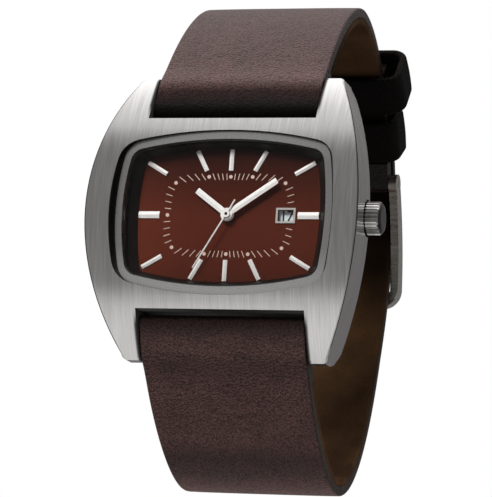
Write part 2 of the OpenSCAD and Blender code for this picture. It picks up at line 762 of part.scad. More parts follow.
// Movement
module movement_ring() {
    color([0.8, 0.8, 0.78]) difference() {
        slab(back_boss_z + 0.02, dial_under_z - 0.02) difference() {
            polygon(window(cavity_da + 0.12, cavity_db + 0.12));
            circle(r = move_r + slide_gap);
        }
        translate([0, 0, crown_z]) rod_x(move_r - 1, tube_in_x + 2, tube_r + fit_gap, $fn = fine);
    }
}
module main_plate() {
    color(brass) difference() {
        union() {
            post_wide(move_r, plate_z, plate_top_z);
            difference() {
                post_wide(move_r, plate_top_z - eps, move_top_z);
                post_wide(date_disc_r + fit_gap, plate_top_z - 1, move_top_z + 1);
            }
            pivot_at(board_screw) post(pillar_r, board_z + board_t, plate_z + eps);
            pivot_at(clip_screw) post(pillar_r, clip_z + clip_t, plate_z + eps);
        }
        post(cannon_r + 0.05, plate_z - 1, plate_top_z + 1);
        translate([0, coil_y, coil_z]) rod_x(coil_from_x - 0.1, coil_to_x + 0.1, coil_r + fit_gap, $fn = fine);
        slab(motion_lower_z - 0.12, plate_top_z + 1) {
            circle(r = 1.2, $fn = fine);
            translate(minute_wheel_at) circle(r = cannon_module * minute_wheel_teeth / 2 + 0.25, $fn = fine);
            translate(driver_at) circle(r = hour_module * driver_teeth / 2 + 0.25, $fn = fine);
            translate(idler_at) circle(r = hour_module * idler_pinion_teeth / 2 + 0.25, $fn = fine);
        }
        pivot_at(battery_at) post(battery_r + fit_gap, plate_z - 1, battery_z + battery_h + 0.05);
        pivot_at(rotor_at) post(0.2, plate_z - 1, plate_z + 0.4);
        translate([0, 0, crown_z]) {
            rod_x(stem_in_x - 0.2, move_r + 1, stem_r + slide_gap, $fn = fine);
            rod_x(clutch_x - 0.15, clutch_x + clutch_len + 0.15, clutch_r + 0.1, $fn = fine);
        }
        for (seat = screw_seats) pivot_at(seat[0]) post(screw_r + 0.02, clip_z - 1, plate_z + 0.8);
    }
}
module post_wide(r, z0, z1) {
    translate([0, 0, z0]) cylinder(r = r, h = z1 - z0);
}
module hour_wheel() {
    color(brass) difference() {
        union() {
            wheel(hour_wheel_teeth, hour_module, motion_upper_z, motion_t, hour_wheel_shift);
            post(hour_pipe_r, motion_upper_z, hour_hand_z + hand_t);
        }
        post(hour_pipe_bore_r, motion_upper_z - 1, hour_hand_z + 1);
    }
}
module minute_wheel() {
    color(brass) pivot_at(minute_wheel_at) {
        wheel(minute_wheel_teeth, cannon_module, motion_lower_z, motion_t,
            mesh(cannon_teeth, 0, motion_angle, minute_wheel_teeth));
        wheel(minute_pinion_teeth, hour_module, motion_lower_z + motion_t - eps,
            motion_upper_z - motion_lower_z + eps);
    }
}
module center_wheel() {
    color(brass) difference() {
        union() {
            wheel(center_teeth, center_module, train_z[0], wheel_t);
            wheel(cannon_teeth, cannon_module, motion_lower_z, motion_t);
            post(cannon_r, train_z[0], minute_hand_z + hand_t);
        }
        post(cannon_bore_r, train_z[0] - 1, minute_hand_z + 1);
    }
}
module third_wheel() {
    color(brass) pivot_at(third_at) {
        wheel(third_pinion_teeth, center_module, train_z[1] + wheel_t - eps, train_z[0] - train_z[1] + eps,
            mesh(center_teeth, 0, third_angle, third_pinion_teeth));
        wheel(third_teeth, third_module, train_z[1], wheel_t);
        post(0.12, bridge_z + 0.05, plate_z - 0.08);
    }
}
module fourth_wheel() {
    color(brass) {
        wheel(fourth_pinion_teeth, third_module, train_z[2] + wheel_t - eps, train_z[1] - train_z[2] + eps,
            mesh(third_teeth, 0, third_angle + 180, fourth_pinion_teeth));
        wheel(fourth_teeth, third_module, train_z[2], wheel_t);
        post(seconds_arbor_r - 0.01, bridge_z + 0.05, seconds_hand_z + 0.1);
    }
}
module intermediate_wheel() {
    color(brass) pivot_at(inter_at) {
        wheel(inter_pinion_teeth, third_module, train_z[3] + wheel_t - eps, train_z[2] - train_z[3] + eps,
            mesh(fourth_teeth, 0, inter_angle, inter_pinion_teeth));
        wheel(inter_teeth, rotor_module, train_z[3], wheel_t);
        post(0.1, bridge_z + 0.05, train_z[0] - 0.05);
    }
}
module rotor() {
    color(dark_steel) pivot_at(rotor_at) {
        wheel(rotor_teeth, rotor_module, train_z[3] - 0.02, wheel_t + 0.06,
            mesh(inter_teeth, 0, rotor_angle, rotor_teeth));
        post(rotor_r, train_z[2] + 0.04, train_z[0] + 0.1);
        post(0.08, bridge_z + 0.05, train_z[2] + 0.1);
        post(0.1, train_z[0], plate_z + 0.2);
    }
}
module date_idler() {
    color(brass) pivot_at(idler_at) {
        wheel(idler_teeth, hour_module, motion_upper_z, motion_t,
            mesh(hour_wheel_teeth, hour_wheel_shift, idler_angle, idler_teeth));
        wheel(idler_pinion_teeth, hour_module, motion_lower_z, motion_upper_z - motion_lower_z + eps);
    }
}
module date_driving_wheel() {
    color(brass) pivot_at(driver_at) {
        wheel(driver_teeth, hour_module, motion_lower_z, motion_t,
            mesh(idler_pinion_teeth, 0, driver_angle, driver_teeth));
        post(0.35, motion_lower_z + motion_t - eps, motion_lower_z + motion_t + 0.1);
    }
}
module stator() {
    z = train_z[2] + 0.16;
    left = coil_from_x - 1;
    right = coil_to_x + 1;
    color([0.6, 0.6, 0.62]) slab(z, z + 0.3) difference() {
        polygon([[left, coil_y - 0.7], [left + 1.2, rotor_at[1] + 1.5],
            [rotor_at[0] - 1.4, rotor_at[1] + 0.6],
            [rotor_at[0] - 0.9, rotor_at[1] - 0.8], [rotor_at[0] + 0.9, rotor_at[1] - 0.8],
            [rotor_at[0] + 1.4, rotor_at[1] + 0.6], [right - 1.2, rotor_at[1] + 1.5], [right, coil_y - 0.7],
            [right, coil_y + 0.7], [right - 0.95, coil_y + 0.7], [right - 0.95, coil_y - 1.2],
            [left + 0.95, coil_y - 1.2], [left + 0.95, coil_y + 0.7], [left, coil_y + 0.7]]);
        translate(rotor_at) circle(r = rotor_r + 0.15, $fn = fine);
    }
}
module coil() {
    color([0.72, 0.36, 0.16]) translate([0, coil_y, coil_z]) {
        rod_x(coil_from_x, coil_to_x, coil_r - 0.15, $fn = fine);
        for (x = [coil_from_x, coil_to_x - 0.25]) rod_x(x, x + 0.25, coil_r, $fn = fine);
    }
}
module circuit_board() {
    color([0.1, 0.3, 0.16]) difference() {
        union() {
            slab(board_z, board_z + board_t) intersection() {
                circle(r = move_r - 0.6);
                translate([-9, -9.6]) square([17, 5]);
            }
            slab(board_z - 0.35, board_z + eps) translate([-3.2, -7.6]) square([2.2, 1.9]);
        }
        pivot_at(board_screw) post(screw_r + 0.02, board_z - 1, board_z + 1);
    }
}
module quartz_can() {
    color([0.8, 0.8, 0.78]) translate([0, -7.4, board_z - 0.57]) rod_x(0.4, 5.4, 0.55, $fn = fine);
}
module battery() {
    color([0.75, 0.75, 0.76]) pivot_at(battery_at) {
        post(battery_r, battery_z, battery_z + battery_h - 0.35);
        post(battery_r - 0.6, battery_z + battery_h - 0.4, battery_z + battery_h);
    }
}
module battery_clip() {
    color(brass) difference() {
        slab(clip_z, clip_z + clip_t) pivot_at(battery_at) rotate([0, 0, clip_angle])
            translate([-3.2, -clip_w / 2]) square([3.2 + clip_reach + 0.8, clip_w]);
        pivot_at(clip_screw) post(screw_r + 0.02, clip_z - 1, clip_z + 1);
    }
}
module train_bridge() {
    color(brass) difference() {
        union() {
            slab(bridge_z, bridge_z + bridge_t) intersection() {
                circle(r = move_r - 0.4);
                difference() {
                    translate([-3, -3.4]) square([12.6, 8.6]);
                    translate(battery_at) circle(r = battery_r + 0.3, $fn = fine);
                }
            }
            for (p = bridge_screws) pivot_at(p) post(pillar_r, bridge_z + bridge_t - eps, plate_z);
        }
        for (p = bridge_screws) pivot_at(p) post(screw_r + 0.02, bridge_z - 1, plate_z + 1);
        post(0.17, bridge_z - 1, bridge_z + 1);
        pivot_at(third_at) post(0.15, bridge_z - 1, bridge_z + 1);
        pivot_at(inter_at) post(0.13, bridge_z - 1, bridge_z + 1);
        pivot_at(rotor_at) post(0.11, bridge_z - 1, bridge_z + 1);
    }
}
module movement_screws() {
    color(dark_steel) for (seat = screw_seats) pivot_at(seat[0]) {
        post(screw_r, seat[1] - eps, plate_z + 0.75);
        post(pillar_r - 0.1, seat[1] - 0.25, seat[1]);
    }
}

// Strap. The plan outline of the loop, which narrows towards the buckle
module strap_plan(w_top, w_crest, w_end) {
    reach = loop_half_h + strap_t;
    half = [[w_top / 2, case_top_z], [w_top / 2, lug_bar_z], [w_crest / 2, crest_z],
        [w_end / 2, -loop_depth + 4], [w_end / 2, -loop_depth - 2 * strap_t]];
    rotate([90, 0, 0]) translate([0, 0, -reach]) linear_extrude(2 * reach)
        polygon(joined([half, mirrored_x(half)]));
}
module strap_cut() {
    intersection() {
        children();
        strap_plan(strap_fit_w, crest_w, strap_end_w);
    }
}
module lug_end(side, r) {
    translate([side * lug_bar_y, lug_bar_z]) circle(r = r, $fn = fine);
}
module strap_12_leather() {
    color(leather) difference() {
        strap_cut() along_x(-half_reach, half_reach) {
            polygon(loop_band(0, buckle_u, -outer_t, 0));
            polygon(loop_band(0, lug_fold_u, -strap_t, -outer_t + eps));
            polygon(loop_band(buckle_fold_u, buckle_u, -strap_t, -outer_t + eps));
            lug_end(1, strap_t / 2 - wrap_inset);
            translate(bar_at) circle(r = strap_t / 2 - wrap_inset, $fn = fine);
        }
        along_x(-half_reach - 1, half_reach + 1) {
            lug_end(1, lug_bar_r + slide_gap);
            translate(bar_at) circle(r = buckle_bar_r + slide_gap, $fn = fine);
        }
        tongue_slot();
    }
}
module strap_12_lining() {
    color(lining_brown) difference() {
        strap_cut() along_x(-half_reach, half_reach)
            polygon(loop_band(lug_fold_u, buckle_fold_u, -strap_t, -outer_t));
        tongue_slot();
    }
}
module tongue_slot() {
    translate([-tongue_w / 2 - 0.4, bar_at[0] - 6, bar_at[1] - 6]) cube([tongue_w + 0.8, 8, 12]);
}
// Holes along the tail, the second of which takes the tongue
module tail_holes() {
    for (i = [0:hole_count - 1]) {
        along = (1 - i) * hole_pitch;
        y = tongue_hole_y + along;
        translate([0, y, loop_at_y(y, strap_t / 2)])
            if (i == 1) translate([-tongue_w / 2 - 0.2, -2.3, -6]) cube([tongue_w + 0.4, 5.9, 12]);
            else post(0.9, -6, 6);
    }
}
module strap_6_leather() {
    color(leather) difference() {
        strap_cut() along_x(-half_reach, half_reach) {
            polygon(loop_band(tail_u, 4, layer_gap + lining_t, layer_gap + strap_t));
            polygon(loop_band(4 - lug_fold_u, 4, layer_gap, layer_gap + lining_t + eps));
            lug_end(-1, strap_t / 2 - wrap_inset);
        }
        along_x(-half_reach - 1, half_reach + 1) lug_end(-1, lug_bar_r + slide_gap);
        tail_holes();
    }
}
module strap_6_lining() {
    color(lining_brown) difference() {
        strap_cut() along_x(-half_reach, half_reach)
            polygon(loop_band(tail_u, 4 - lug_fold_u, layer_gap, layer_gap + lining_t));
        tail_holes();
    }
}
module spring_bar(side) {
    color(steel) translate([0, side * lug_bar_y, lug_bar_z]) {
        rod_x(-strap_w / 2 + 0.25, strap_w / 2 - 0.25, lug_bar_r, $fn = fine);
        rod_x(-strap_w / 2 - 1.2, strap_w / 2 + 1.2, 0.45, $fn = fine);
    }
}
module spring_bar_12() { spring_bar(1); }
module spring_bar_6() { spring_bar(-1); }

// A keeper is a flattened tube of leather, set square to the strap where it sits
module keeper(u, half_w, shift) {
    h = loop_heading(u);
    centre = loop_point(u, layer_gap / 2 - keeper_inset);
    color(leather) translate([shift, centre[0], centre[1]]) rotate([atan2(h[1], h[0]), 0, 0])
        rotate([90, 0, 0]) translate([0, 0, -keeper_w / 2]) linear_extrude(keeper_w) difference() {
            rounded_rect(2 * half_w, keeper_h, keeper_corner_r);
            rounded_rect(2 * (half_w - keeper_t), keeper_h - 2 * keeper_t,
                keeper_corner_r - keeper_t);
        }
}
module fixed_keeper() { keeper(fixed_keeper_u, fixed_keeper_half_w, 0); }
module free_keeper() { keeper(free_keeper_u, free_keeper_half_w, free_keeper_shift); }

// Buckle
module buckle_frame() {
    mid = [(bar_at[0] + outer_bar_y) / 2, (bar_at[1] + outer_bar_z + outer_bar_t / 2) / 2 - 2 * arm_bow];
    far = [outer_bar_y, outer_bar_z + outer_bar_t / 2];
    // The arms end flush with the outer bar's lowest side
    rise = [0, (arm_t - outer_bar_t) / 2];
    function bow(s) = (1 - s) * (1 - s) * bar_at + 2 * s * (1 - s) * mid + s * s * (far + rise);
    steps = 12;
    color(dark_steel) difference() {
        intersection() {
            union() {
                for (side = [-1, 1]) translate([side * (buckle_half_in + arm_w / 2), 0, 0])
                    along_x(-arm_w / 2, arm_w / 2) {
                        translate(bar_at) circle(r = 1.5, $fn = fine);
                        polygon(joined([
                            [for (i = [0:steps]) bow(i / steps) + [0, arm_t / 2]],
                            [for (i = [steps:-1:0]) bow(i / steps) - [0, arm_t / 2]]]));
                    }
                along_x(-buckle_half_w, buckle_half_w)
                    translate(far) rounded_rect(outer_bar_w, outer_bar_t, 0.6);
            }
            slab(origin_z - 5, bar_at[1] + 5)
                translate([0, (bar_at[0] + 2 + outer_bar_y - outer_bar_w / 2) / 2])
                    buckle_plan(2 * buckle_half_w, bar_at[0] + 2 - outer_bar_y + outer_bar_w / 2,
                        buckle_corner_r);
        }
        translate([0, bar_at[0], bar_at[1]]) rod_x(-20, 20, 0.42, $fn = fine);
        translate([-tongue_w / 2 - 0.15, outer_bar_y - 3, tongue_out_z - 3])
            cube([tongue_w + 0.3, 6, 3 + fit_gap]);
    }
}
module buckle_plan(w, h, r) {
    translate([-w / 2, -h / 2 + r]) square([w, h - r]);
    translate([0, -h / 2 + r]) square([w - 2 * r, 2 * r], center = true);
    for (x = [-1, 1]) translate([x * (w / 2 - r), -h / 2 + r]) circle(r = r, $fn = fine);
}
module buckle_bar() {
    color(steel) translate([0, bar_at[0], bar_at[1]]) {
        rod_x(-buckle_half_in + 0.1, buckle_half_in - 0.1, buckle_bar_r, $fn = fine);
        rod_x(-buckle_half_in - 0.9, buckle_half_in + 0.9, 0.4, $fn = fine);
    }
}
module buckle_tongue() {
    z = tongue_out_z;
    t = tongue_t;
    tip_y = outer_bar_y - 0.7;
    color(steel) difference() {
        along_x(-tongue_w / 2, tongue_w / 2) {
            translate(bar_at) circle(r = buckle_bar_r + 0.65, $fn = fine);
            polygon([[bar_at[0] - 1.1, bar_at[1] + 0.6], [bar_at[0] - 0.7, bar_at[1] - 1.2],
                [tongue_hole_y + 1.5, bar_at[1] - 1.9], [tongue_hole_y, z - t],
                [tip_y + 0.3, z - t], [tip_y, z - t + 0.3], [tip_y, z], [tongue_hole_y - 1.1, z]]);
        }
        along_x(-tongue_w, tongue_w) translate(bar_at) circle(r = buckle_bar_r + slide_gap, $fn = fine);
    }
}

stand() case_middle();
stand() bezel_ring();
stand() crystal();
stand() crystal_gasket();
stand() case_back();
stand() case_back_gasket();
stand() case_back_screws();
stand() crown();
stand() crown_tube();
stand() crown_gasket();
stand() stem();
stand() clutch_wheel();
stand() dial();
stand() dial_flange();
stand() hour_markers();
stand() date_window_frame();
stand() date_disc();
stand() hour_hand();
stand() minute_hand();
stand() seconds_hand();
stand() movement_ring();
stand() main_plate();
stand() hour_wheel();
stand() minute_wheel();
stand() center_wheel();
stand() third_wheel();
stand() fourth_wheel();
stand() intermediate_wheel();
stand() rotor();
stand() date_idler();
stand() date_driving_wheel();
stand() stator();
stand() coil();
stand() circuit_board();
stand() quartz_can();
stand() battery();
stand() battery_clip();
stand() train_bridge();
stand() movement_screws();
stand() spring_bar_12();
stand() spring_bar_6();
stand() strap_12_leather();
stand() strap_12_lining();
stand() strap_6_leather();
stand() strap_6_lining();
stand() fixed_keeper();
stand() free_keeper();
stand() buckle_frame();
stand() buckle_bar();
stand() buckle_tongue();
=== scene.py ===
"""Looks of the wristwatch: leather strap pieces, dial print, materials, stage, light and camera.

Lengths are in millimetres from the centre of the dial's face, as in the CAD source, with 12
o'clock towards +y and the face towards +z. at() turns such points into the frame's metres.
"""

import math

import bmesh
import bpy
import numpy as np
from mathutils import Matrix, Vector


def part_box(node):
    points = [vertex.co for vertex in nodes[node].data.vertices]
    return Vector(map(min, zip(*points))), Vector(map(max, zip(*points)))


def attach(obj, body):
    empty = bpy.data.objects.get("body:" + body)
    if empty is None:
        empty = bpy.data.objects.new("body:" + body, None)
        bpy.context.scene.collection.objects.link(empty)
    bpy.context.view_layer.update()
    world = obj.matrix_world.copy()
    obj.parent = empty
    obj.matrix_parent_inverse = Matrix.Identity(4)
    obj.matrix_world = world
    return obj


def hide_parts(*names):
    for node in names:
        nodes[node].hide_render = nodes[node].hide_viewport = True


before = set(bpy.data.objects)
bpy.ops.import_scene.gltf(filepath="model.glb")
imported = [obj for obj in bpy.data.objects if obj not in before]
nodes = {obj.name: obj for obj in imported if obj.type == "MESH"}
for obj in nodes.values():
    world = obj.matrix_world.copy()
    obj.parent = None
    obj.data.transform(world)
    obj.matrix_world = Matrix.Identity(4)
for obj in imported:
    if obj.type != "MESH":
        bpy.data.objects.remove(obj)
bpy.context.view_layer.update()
scene = bpy.context.scene

MM = 0.001
# The frame's origin, from the dial's centre: the dial's face is at z = 0
ORIGIN = np.array([1.08, 0.175, -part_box("dial")[1][2] / MM])
SMOOTH_ANGLE = math.radians(40)


def at(points):
    """Points in millimetres from the dial's centre, as metres in the frame."""
    return (np.asarray(points, float) - ORIGIN) * MM


# Shapes that all the pieces share

def smooth(mesh):
    mesh.shade_smooth()
    mesh.set_sharp_from_angle(angle=SMOOTH_ANGLE)


def make_mesh(name, verts, faces):
    mesh = bpy.data.meshes.new(name)
    mesh.from_pydata([tuple(p) for p in at(verts)], [], faces)
    bm = bmesh.new()
    bm.from_mesh(mesh)
    bmesh.ops.recalc_face_normals(bm, faces=bm.faces)
    bm.to_mesh(mesh)
    bm.free()
    obj = bpy.data.objects.new(name, mesh)
    scene.collection.objects.link(obj)
    smooth(mesh)
    return obj


def tube(rings, count, closed):
    """Faces between rings of count points each. A closed tube joins its last ring to its first."""
    faces = []
    for i in range(rings if closed else rings - 1):
        here, ahead = i * count, (i + 1) % rings * count
        for j in range(count):
            k = (j + 1) % count
            faces.append((here + j, here + k, ahead + k, ahead + j))
    return faces


def prism(outline, z0, z1, verts, faces):
    """Adds an upright plate with this outline to verts and faces."""
    base = len(verts)
    n = len(outline)
    verts += [(x, y, z0) for x, y in outline] + [(x, y, z1) for x, y in outline]
    faces += [tuple(range(base, base + n))[::-1], tuple(range(base + n, base + 2 * n))]
    for i in range(n):
        j = (i + 1) % n
        faces.append((base + i, base + j, base + j + n, base + i + n))


def disc(centre, r, count=20):
    """Points of a circle."""
    return [centre + r * np.array([math.cos(a), math.sin(a)])
            for a in np.linspace(0, 2 * math.pi, count, endpoint=False)]


def rounded_rect(hw, hh, r, steps, along):
    """Points and outward normals round a rounded rectangle, from half its width and height.

    Each corner is turned in steps, and along is the number of parts of a level side and of an
    upright one."""
    out = []
    corners = ((hw - r, hh - r, 0), (-hw + r, hh - r, 90),
               (-hw + r, -hh + r, 180), (hw - r, -hh + r, 270))
    for c, (cx, cy, a0) in enumerate(corners):
        for i in range(steps + 1):
            a = math.radians(a0 + 90 * i / steps)
            n = (math.cos(a), math.sin(a))
            out.append(((cx + r * n[0], cy + r * n[1]), n))
        next_x, next_y, _ = corners[(c + 1) % 4]
        start = out[-1][0]
        end = (next_x + r * n[0], next_y + r * n[1])
        parts = along[c % 2]
        for i in range(1, parts):
            s = i / parts
            point = (start[0] + (end[0] - start[0]) * s, start[1] + (end[1] - start[1]) * s)
            out.append((point, n))
    return out


def span(u0, u1, count):
    return [u0 + (u1 - u0) * i / count for i in range(count + 1)]


# The strap's line, a chain of four curves from the upper spring bar round to the lower one.
# A place on it is a number u, from 0 to 4.

# Widths at the lugs, at the loop's crests, and at the buckle's height
STRAP_W = 23.9
CREST_W = 22.884
END_W = 20.4
END_Z = -47.4
# Thicknesses of a half, of its lining and of its skin, and the gap between the doubled halves
STRAP_T = 2.5
LINING_T = 1.0
OUTER_T = STRAP_T - LINING_T
LAYER_GAP = 0.25
# The spring bar at 12, and how the strap leaves it
LUG_BAR = (15.17, -1.1)
SLOPE = math.radians(26)
START_OUT = STRAP_T / 2
END_OUT = STRAP_T / 2 + LAYER_GAP
# The line's furthest point, its lowest one, and how much less far it goes on the side of 6
CREST = (35.9, -24.5)
BOTTOM = (9.5, -51.4)
CREST_IN = 0.35
KNOTS = np.array([
    (LUG_BAR[0] + START_OUT * math.sin(SLOPE), LUG_BAR[1] + START_OUT * math.cos(SLOPE)),
    CREST,
    BOTTOM,
    (-(CREST[0] - STRAP_T - LAYER_GAP - CREST_IN), CREST[1]),
    (-LUG_BAR[0] + END_OUT * math.sin(SLOPE), LUG_BAR[1] - END_OUT * math.cos(SLOPE)),
])
HEADINGS = [math.radians(a) for a in (-26, -90, -180, -270, -334)]
HANDLES = [(9.6, 9.4), (13.9, 13.0), (17.7, 16.0), (7.0, 10.5)]
# Places on the line
BUCKLE_U = 1.84
TAIL_U = 1.405
FIXED_KEEPER_U = 1.652
FREE_KEEPER_U = 1.437
LUG_FOLD_U = 0.25
BUCKLE_FOLD_U = 1.75
LOW_RUN = (1.2, 2.9)


def loop(u):
    """Point, outward normal and direction of the strap's line, as (y, z) pairs."""
    i = min(max(int(u), 0), 3)
    s = u - i
    p0, p3 = KNOTS[i], KNOTS[i + 1]
    p1 = p0 + HANDLES[i][0] * np.array([math.cos(HEADINGS[i]), math.sin(HEADINGS[i])])
    p2 = p3 - HANDLES[i][1] * np.array([math.cos(HEADINGS[i + 1]), math.sin(HEADINGS[i + 1])])
    t = 1 - s
    point = t**3 * p0 + 3 * t * t * s * p1 + 3 * t * s * s * p2 + s**3 * p3
    d = t * t * (p1 - p0) + 2 * t * s * (p2 - p1) + s * s * (p3 - p2)
    d = d / np.linalg.norm(d)
    return point, np.array([-d[1], d[0]]), d


def half_width(z):
    """Half the strap's width at a height z."""
    return np.interp(z, (END_Z, CREST[1], LUG_BAR[1]), (END_W / 2, CREST_W / 2, STRAP_W / 2))


def height_at(y, out):
    """Height of the line's lower run at y, at a distance out from the line."""
    best = None
    for u in np.linspace(*LOW_RUN, 400):
        p, n, _ = loop(u)
        q = p + n * out
        if best is None or abs(q[0] - y) < abs(best[0] - y):
            best = q
    return best[1]


# The strap's layers: a leather skin and a lining on each half

# Height, middle and reach of the padding beside a lug bar
PAD_H = 0.42
PAD_Y = 19.3
PAD_SPREAD = 1.9
PAD_FROM_Z = -10
# The rounded ends of a half, and the short step at a fold
NOSE_ANGLES = [math.radians(a) for a in (86, 74, 62, 50, 38, 26, 13)]
NOSE = STRAP_T / 2 - 0.03
FOLD_STEP = 0.004
# How far the lining stays below the skin, and the radii of the lower and upper long edges
LINING_SINK = 0.02
SKIN_R = (0.2, 0.3)
LINING_R = (0.3, 0.12)


def section(low, high, r_low, r_high, steps=5, across=13):
    """Cross-section of a layer, as rows of (inset from the edge, side, height).

    The rows that fill the top and the bottom have no inset, and their side is a share of the
    width."""
    angles = [math.pi / 2 * i / steps for i in range(steps + 1)]
    edge = [(r_low * (1 - math.sin(a)), low + r_low * (1 - math.cos(a))) for a in angles]
    edge += [(r_high * (1 - math.cos(a)), high - r_high * (1 - math.sin(a))) for a in angles]
    right = [(inset, 1, h) for inset, h in edge]
    left = [(inset, -1, h) for inset, h in reversed(edge)]
    top = [(None, 1 - 2 * i / (across + 1), high) for i in range(1, across + 1)]
    bottom = [(None, -1 + 2 * i / (across + 1), low) for i in range(1, across + 1)]
    return right + top + left + bottom


def padding(y):
    """How far the padding lifts the strap's face just outside each lug bar."""
    return PAD_H * math.exp(-((abs(y) - PAD_Y) / PAD_SPREAD) ** 2)


def layer(name, us, low, high, radii, crown=0.06, nose_start=0.0, nose_end=0.0, padded=False):
    """A layer swept along the line at the places us, between the heights low(u) and high(u).

    radii round its lower and upper long edges, the face falls by crown towards those edges, and
    nose_start and nose_end round its ends over that length."""
    stations = [(u, 0.0, 1.0) for u in us]
    if nose_start:
        stations = [(us[0], -nose_start * math.sin(a), math.cos(a)) for a in NOSE_ANGLES] + stations
    if nose_end:
        stations += [(us[-1], nose_end * math.sin(a), math.cos(a)) for a in reversed(NOSE_ANGLES)]
    verts = []
    for u, ahead, share in stations:
        p, n, d = loop(u)
        lo, hi = low(u), high(u)
        mid = (lo + hi) / 2
        base = p + d * ahead
        half = float(half_width(base[1]))
        for inset, side, h in section(lo, hi, *radii):
            if inset is None:
                inset = radii[1] if h == hi else radii[0]
            x = side * (half - inset)
            lift = -crown * (abs(x) / half) ** 4 if h > mid else 0.0
            if padded and h > mid and base[1] > PAD_FROM_Z:
                lift += padding(base[0] + n[0] * h)
            y, z = base + n * (mid + (h + lift - mid) * share)
            verts.append((x, y, z))
    count = len(verts) // len(stations)
    faces = tube(len(stations), count, closed=False)
    faces.append(tuple(range(count))[::-1])
    faces.append(tuple(range(len(verts) - count, len(verts))))
    return make_mesh(name, verts, faces)


def skin_12_low(u):
    """Underside of the upper half's skin, which is folded back at both ends."""
    folded = u < LUG_FOLD_U or u > BUCKLE_FOLD_U
    return -STRAP_T if folded else -OUTER_T


def skin_6_low(u):
    """Underside of the lower half's skin, which is folded back at the lug alone."""
    return LAYER_GAP if u > 4 - LUG_FOLD_U else LAYER_GAP + LINING_T


us = span(0, LUG_FOLD_U - FOLD_STEP, 24)
us += span(LUG_FOLD_U + FOLD_STEP, BUCKLE_FOLD_U - FOLD_STEP, 72)
us += span(BUCKLE_FOLD_U + FOLD_STEP, BUCKLE_U, 6)
strap_12 = layer("strap_12_skin", us, skin_12_low, lambda u: 0.0, SKIN_R,
                 nose_start=NOSE, nose_end=NOSE, padded=True)
lining_12 = layer("strap_12_inside", span(LUG_FOLD_U, BUCKLE_FOLD_U, 72),
                  lambda u: -STRAP_T, lambda u: -OUTER_T - LINING_SINK, LINING_R, crown=0.0)
us = span(TAIL_U, 4 - LUG_FOLD_U - FOLD_STEP, 100)
us += span(4 - LUG_FOLD_U + FOLD_STEP, 4, 24)
strap_6 = layer("strap_6_skin", us, skin_6_low, lambda u: LAYER_GAP + STRAP_T, SKIN_R,
                nose_end=NOSE, padded=True)
lining_6 = layer("strap_6_inside", span(TAIL_U, 4 - LUG_FOLD_U, 100), lambda u: LAYER_GAP,
                 lambda u: LAYER_GAP + LINING_T - LINING_SINK, LINING_R, crown=0.0)

# The tongue's slot in the upper half, and the holes of the lower half with the used one drawn out

BAR = loop(BUCKLE_U)[0] + loop(BUCKLE_U)[1] * (-STRAP_T / 2)
TONGUE_REACH = 3.6
TONGUE_Y = BAR[0] - TONGUE_REACH
HOLE_PITCH = 6.5
HOLES = 4
USED_HOLE = 1
HOLE_R = 0.9
USED_HALF_W = 1.05
USED_BACK, USED_FRONT = 2.3, 3.6
SLOT_HALF_W = 1.25
SLOT_BACK, SLOT_FRONT = 6, 2
SLOT_R = 0.4
CUT_DEPTH = 6


def cutter(outline, z):
    """A plug with this outline, deep enough to go through the strap at height z."""
    verts, faces = [], []
    prism(outline, z - CUT_DEPTH, z + CUT_DEPTH, verts, faces)
    return make_mesh("cutter", verts, faces)


def slot_cutter(half_w, y0, y1, z):
    """A plug for a slot with rounded corners, from y0 to y1."""
    middle = (y0 + y1) / 2
    ring = rounded_rect(half_w, (y1 - y0) / 2, SLOT_R, 4, (1, 1))
    return cutter([(x, middle + y) for (x, y), _ in ring], z)


def cut(obj, cutters):
    """Cuts the cutters out of obj and removes them."""
    for tool in cutters:
        mod = obj.modifiers.new("cut", "BOOLEAN")
        mod.operation = "DIFFERENCE"
        mod.solver = "EXACT"
        mod.object = tool
        bpy.context.view_layer.objects.active = obj
        with bpy.context.temp_override(object=obj):
            bpy.ops.object.modifier_apply(modifier=mod.name)
        bpy.data.objects.remove(tool, do_unlink=True)
    smooth(obj.data)


for piece in (strap_12, lining_12):
    cut(piece, [slot_cutter(SLOT_HALF_W, BAR[0] - SLOT_BACK, BAR[0] + SLOT_FRONT, BAR[1])])
for piece in (strap_6, lining_6):
    cutters = []
    for i in range(HOLES):
        y = TONGUE_Y + (1 - i) * HOLE_PITCH
        z = height_at(y, STRAP_T / 2)
        if i == USED_HOLE:
            cutters.append(slot_cutter(USED_HALF_W, y - USED_BACK, y + USED_FRONT, z))
        else:
            cutters.append(cutter(disc(np.array([0, y]), HOLE_R, 32), z))
    cut(piece, cutters)

# The two keepers, with room round the strap inside them

KEEPER_W = 6.4
KEEPER_T = 1.1
KEEPER_ROOM = 0.5
KEEPER_H = 2 * STRAP_T + LAYER_GAP + 2 * KEEPER_ROOM + 2 * KEEPER_T
KEEPER_CORNER = 2.5
KEEPER_EDGE_R = 0.5
KEEPER_BULGE = 0.1
KEEPER_SINK = 0.2
KEEPER_SIDE_ROOM = 0.9
FIXED_KEEPER_HALF_W = END_W / 2 + KEEPER_SIDE_ROOM + KEEPER_T
FREE_KEEPER_HALF_W = 13.2
FREE_KEEPER_SHIFT = 0.8


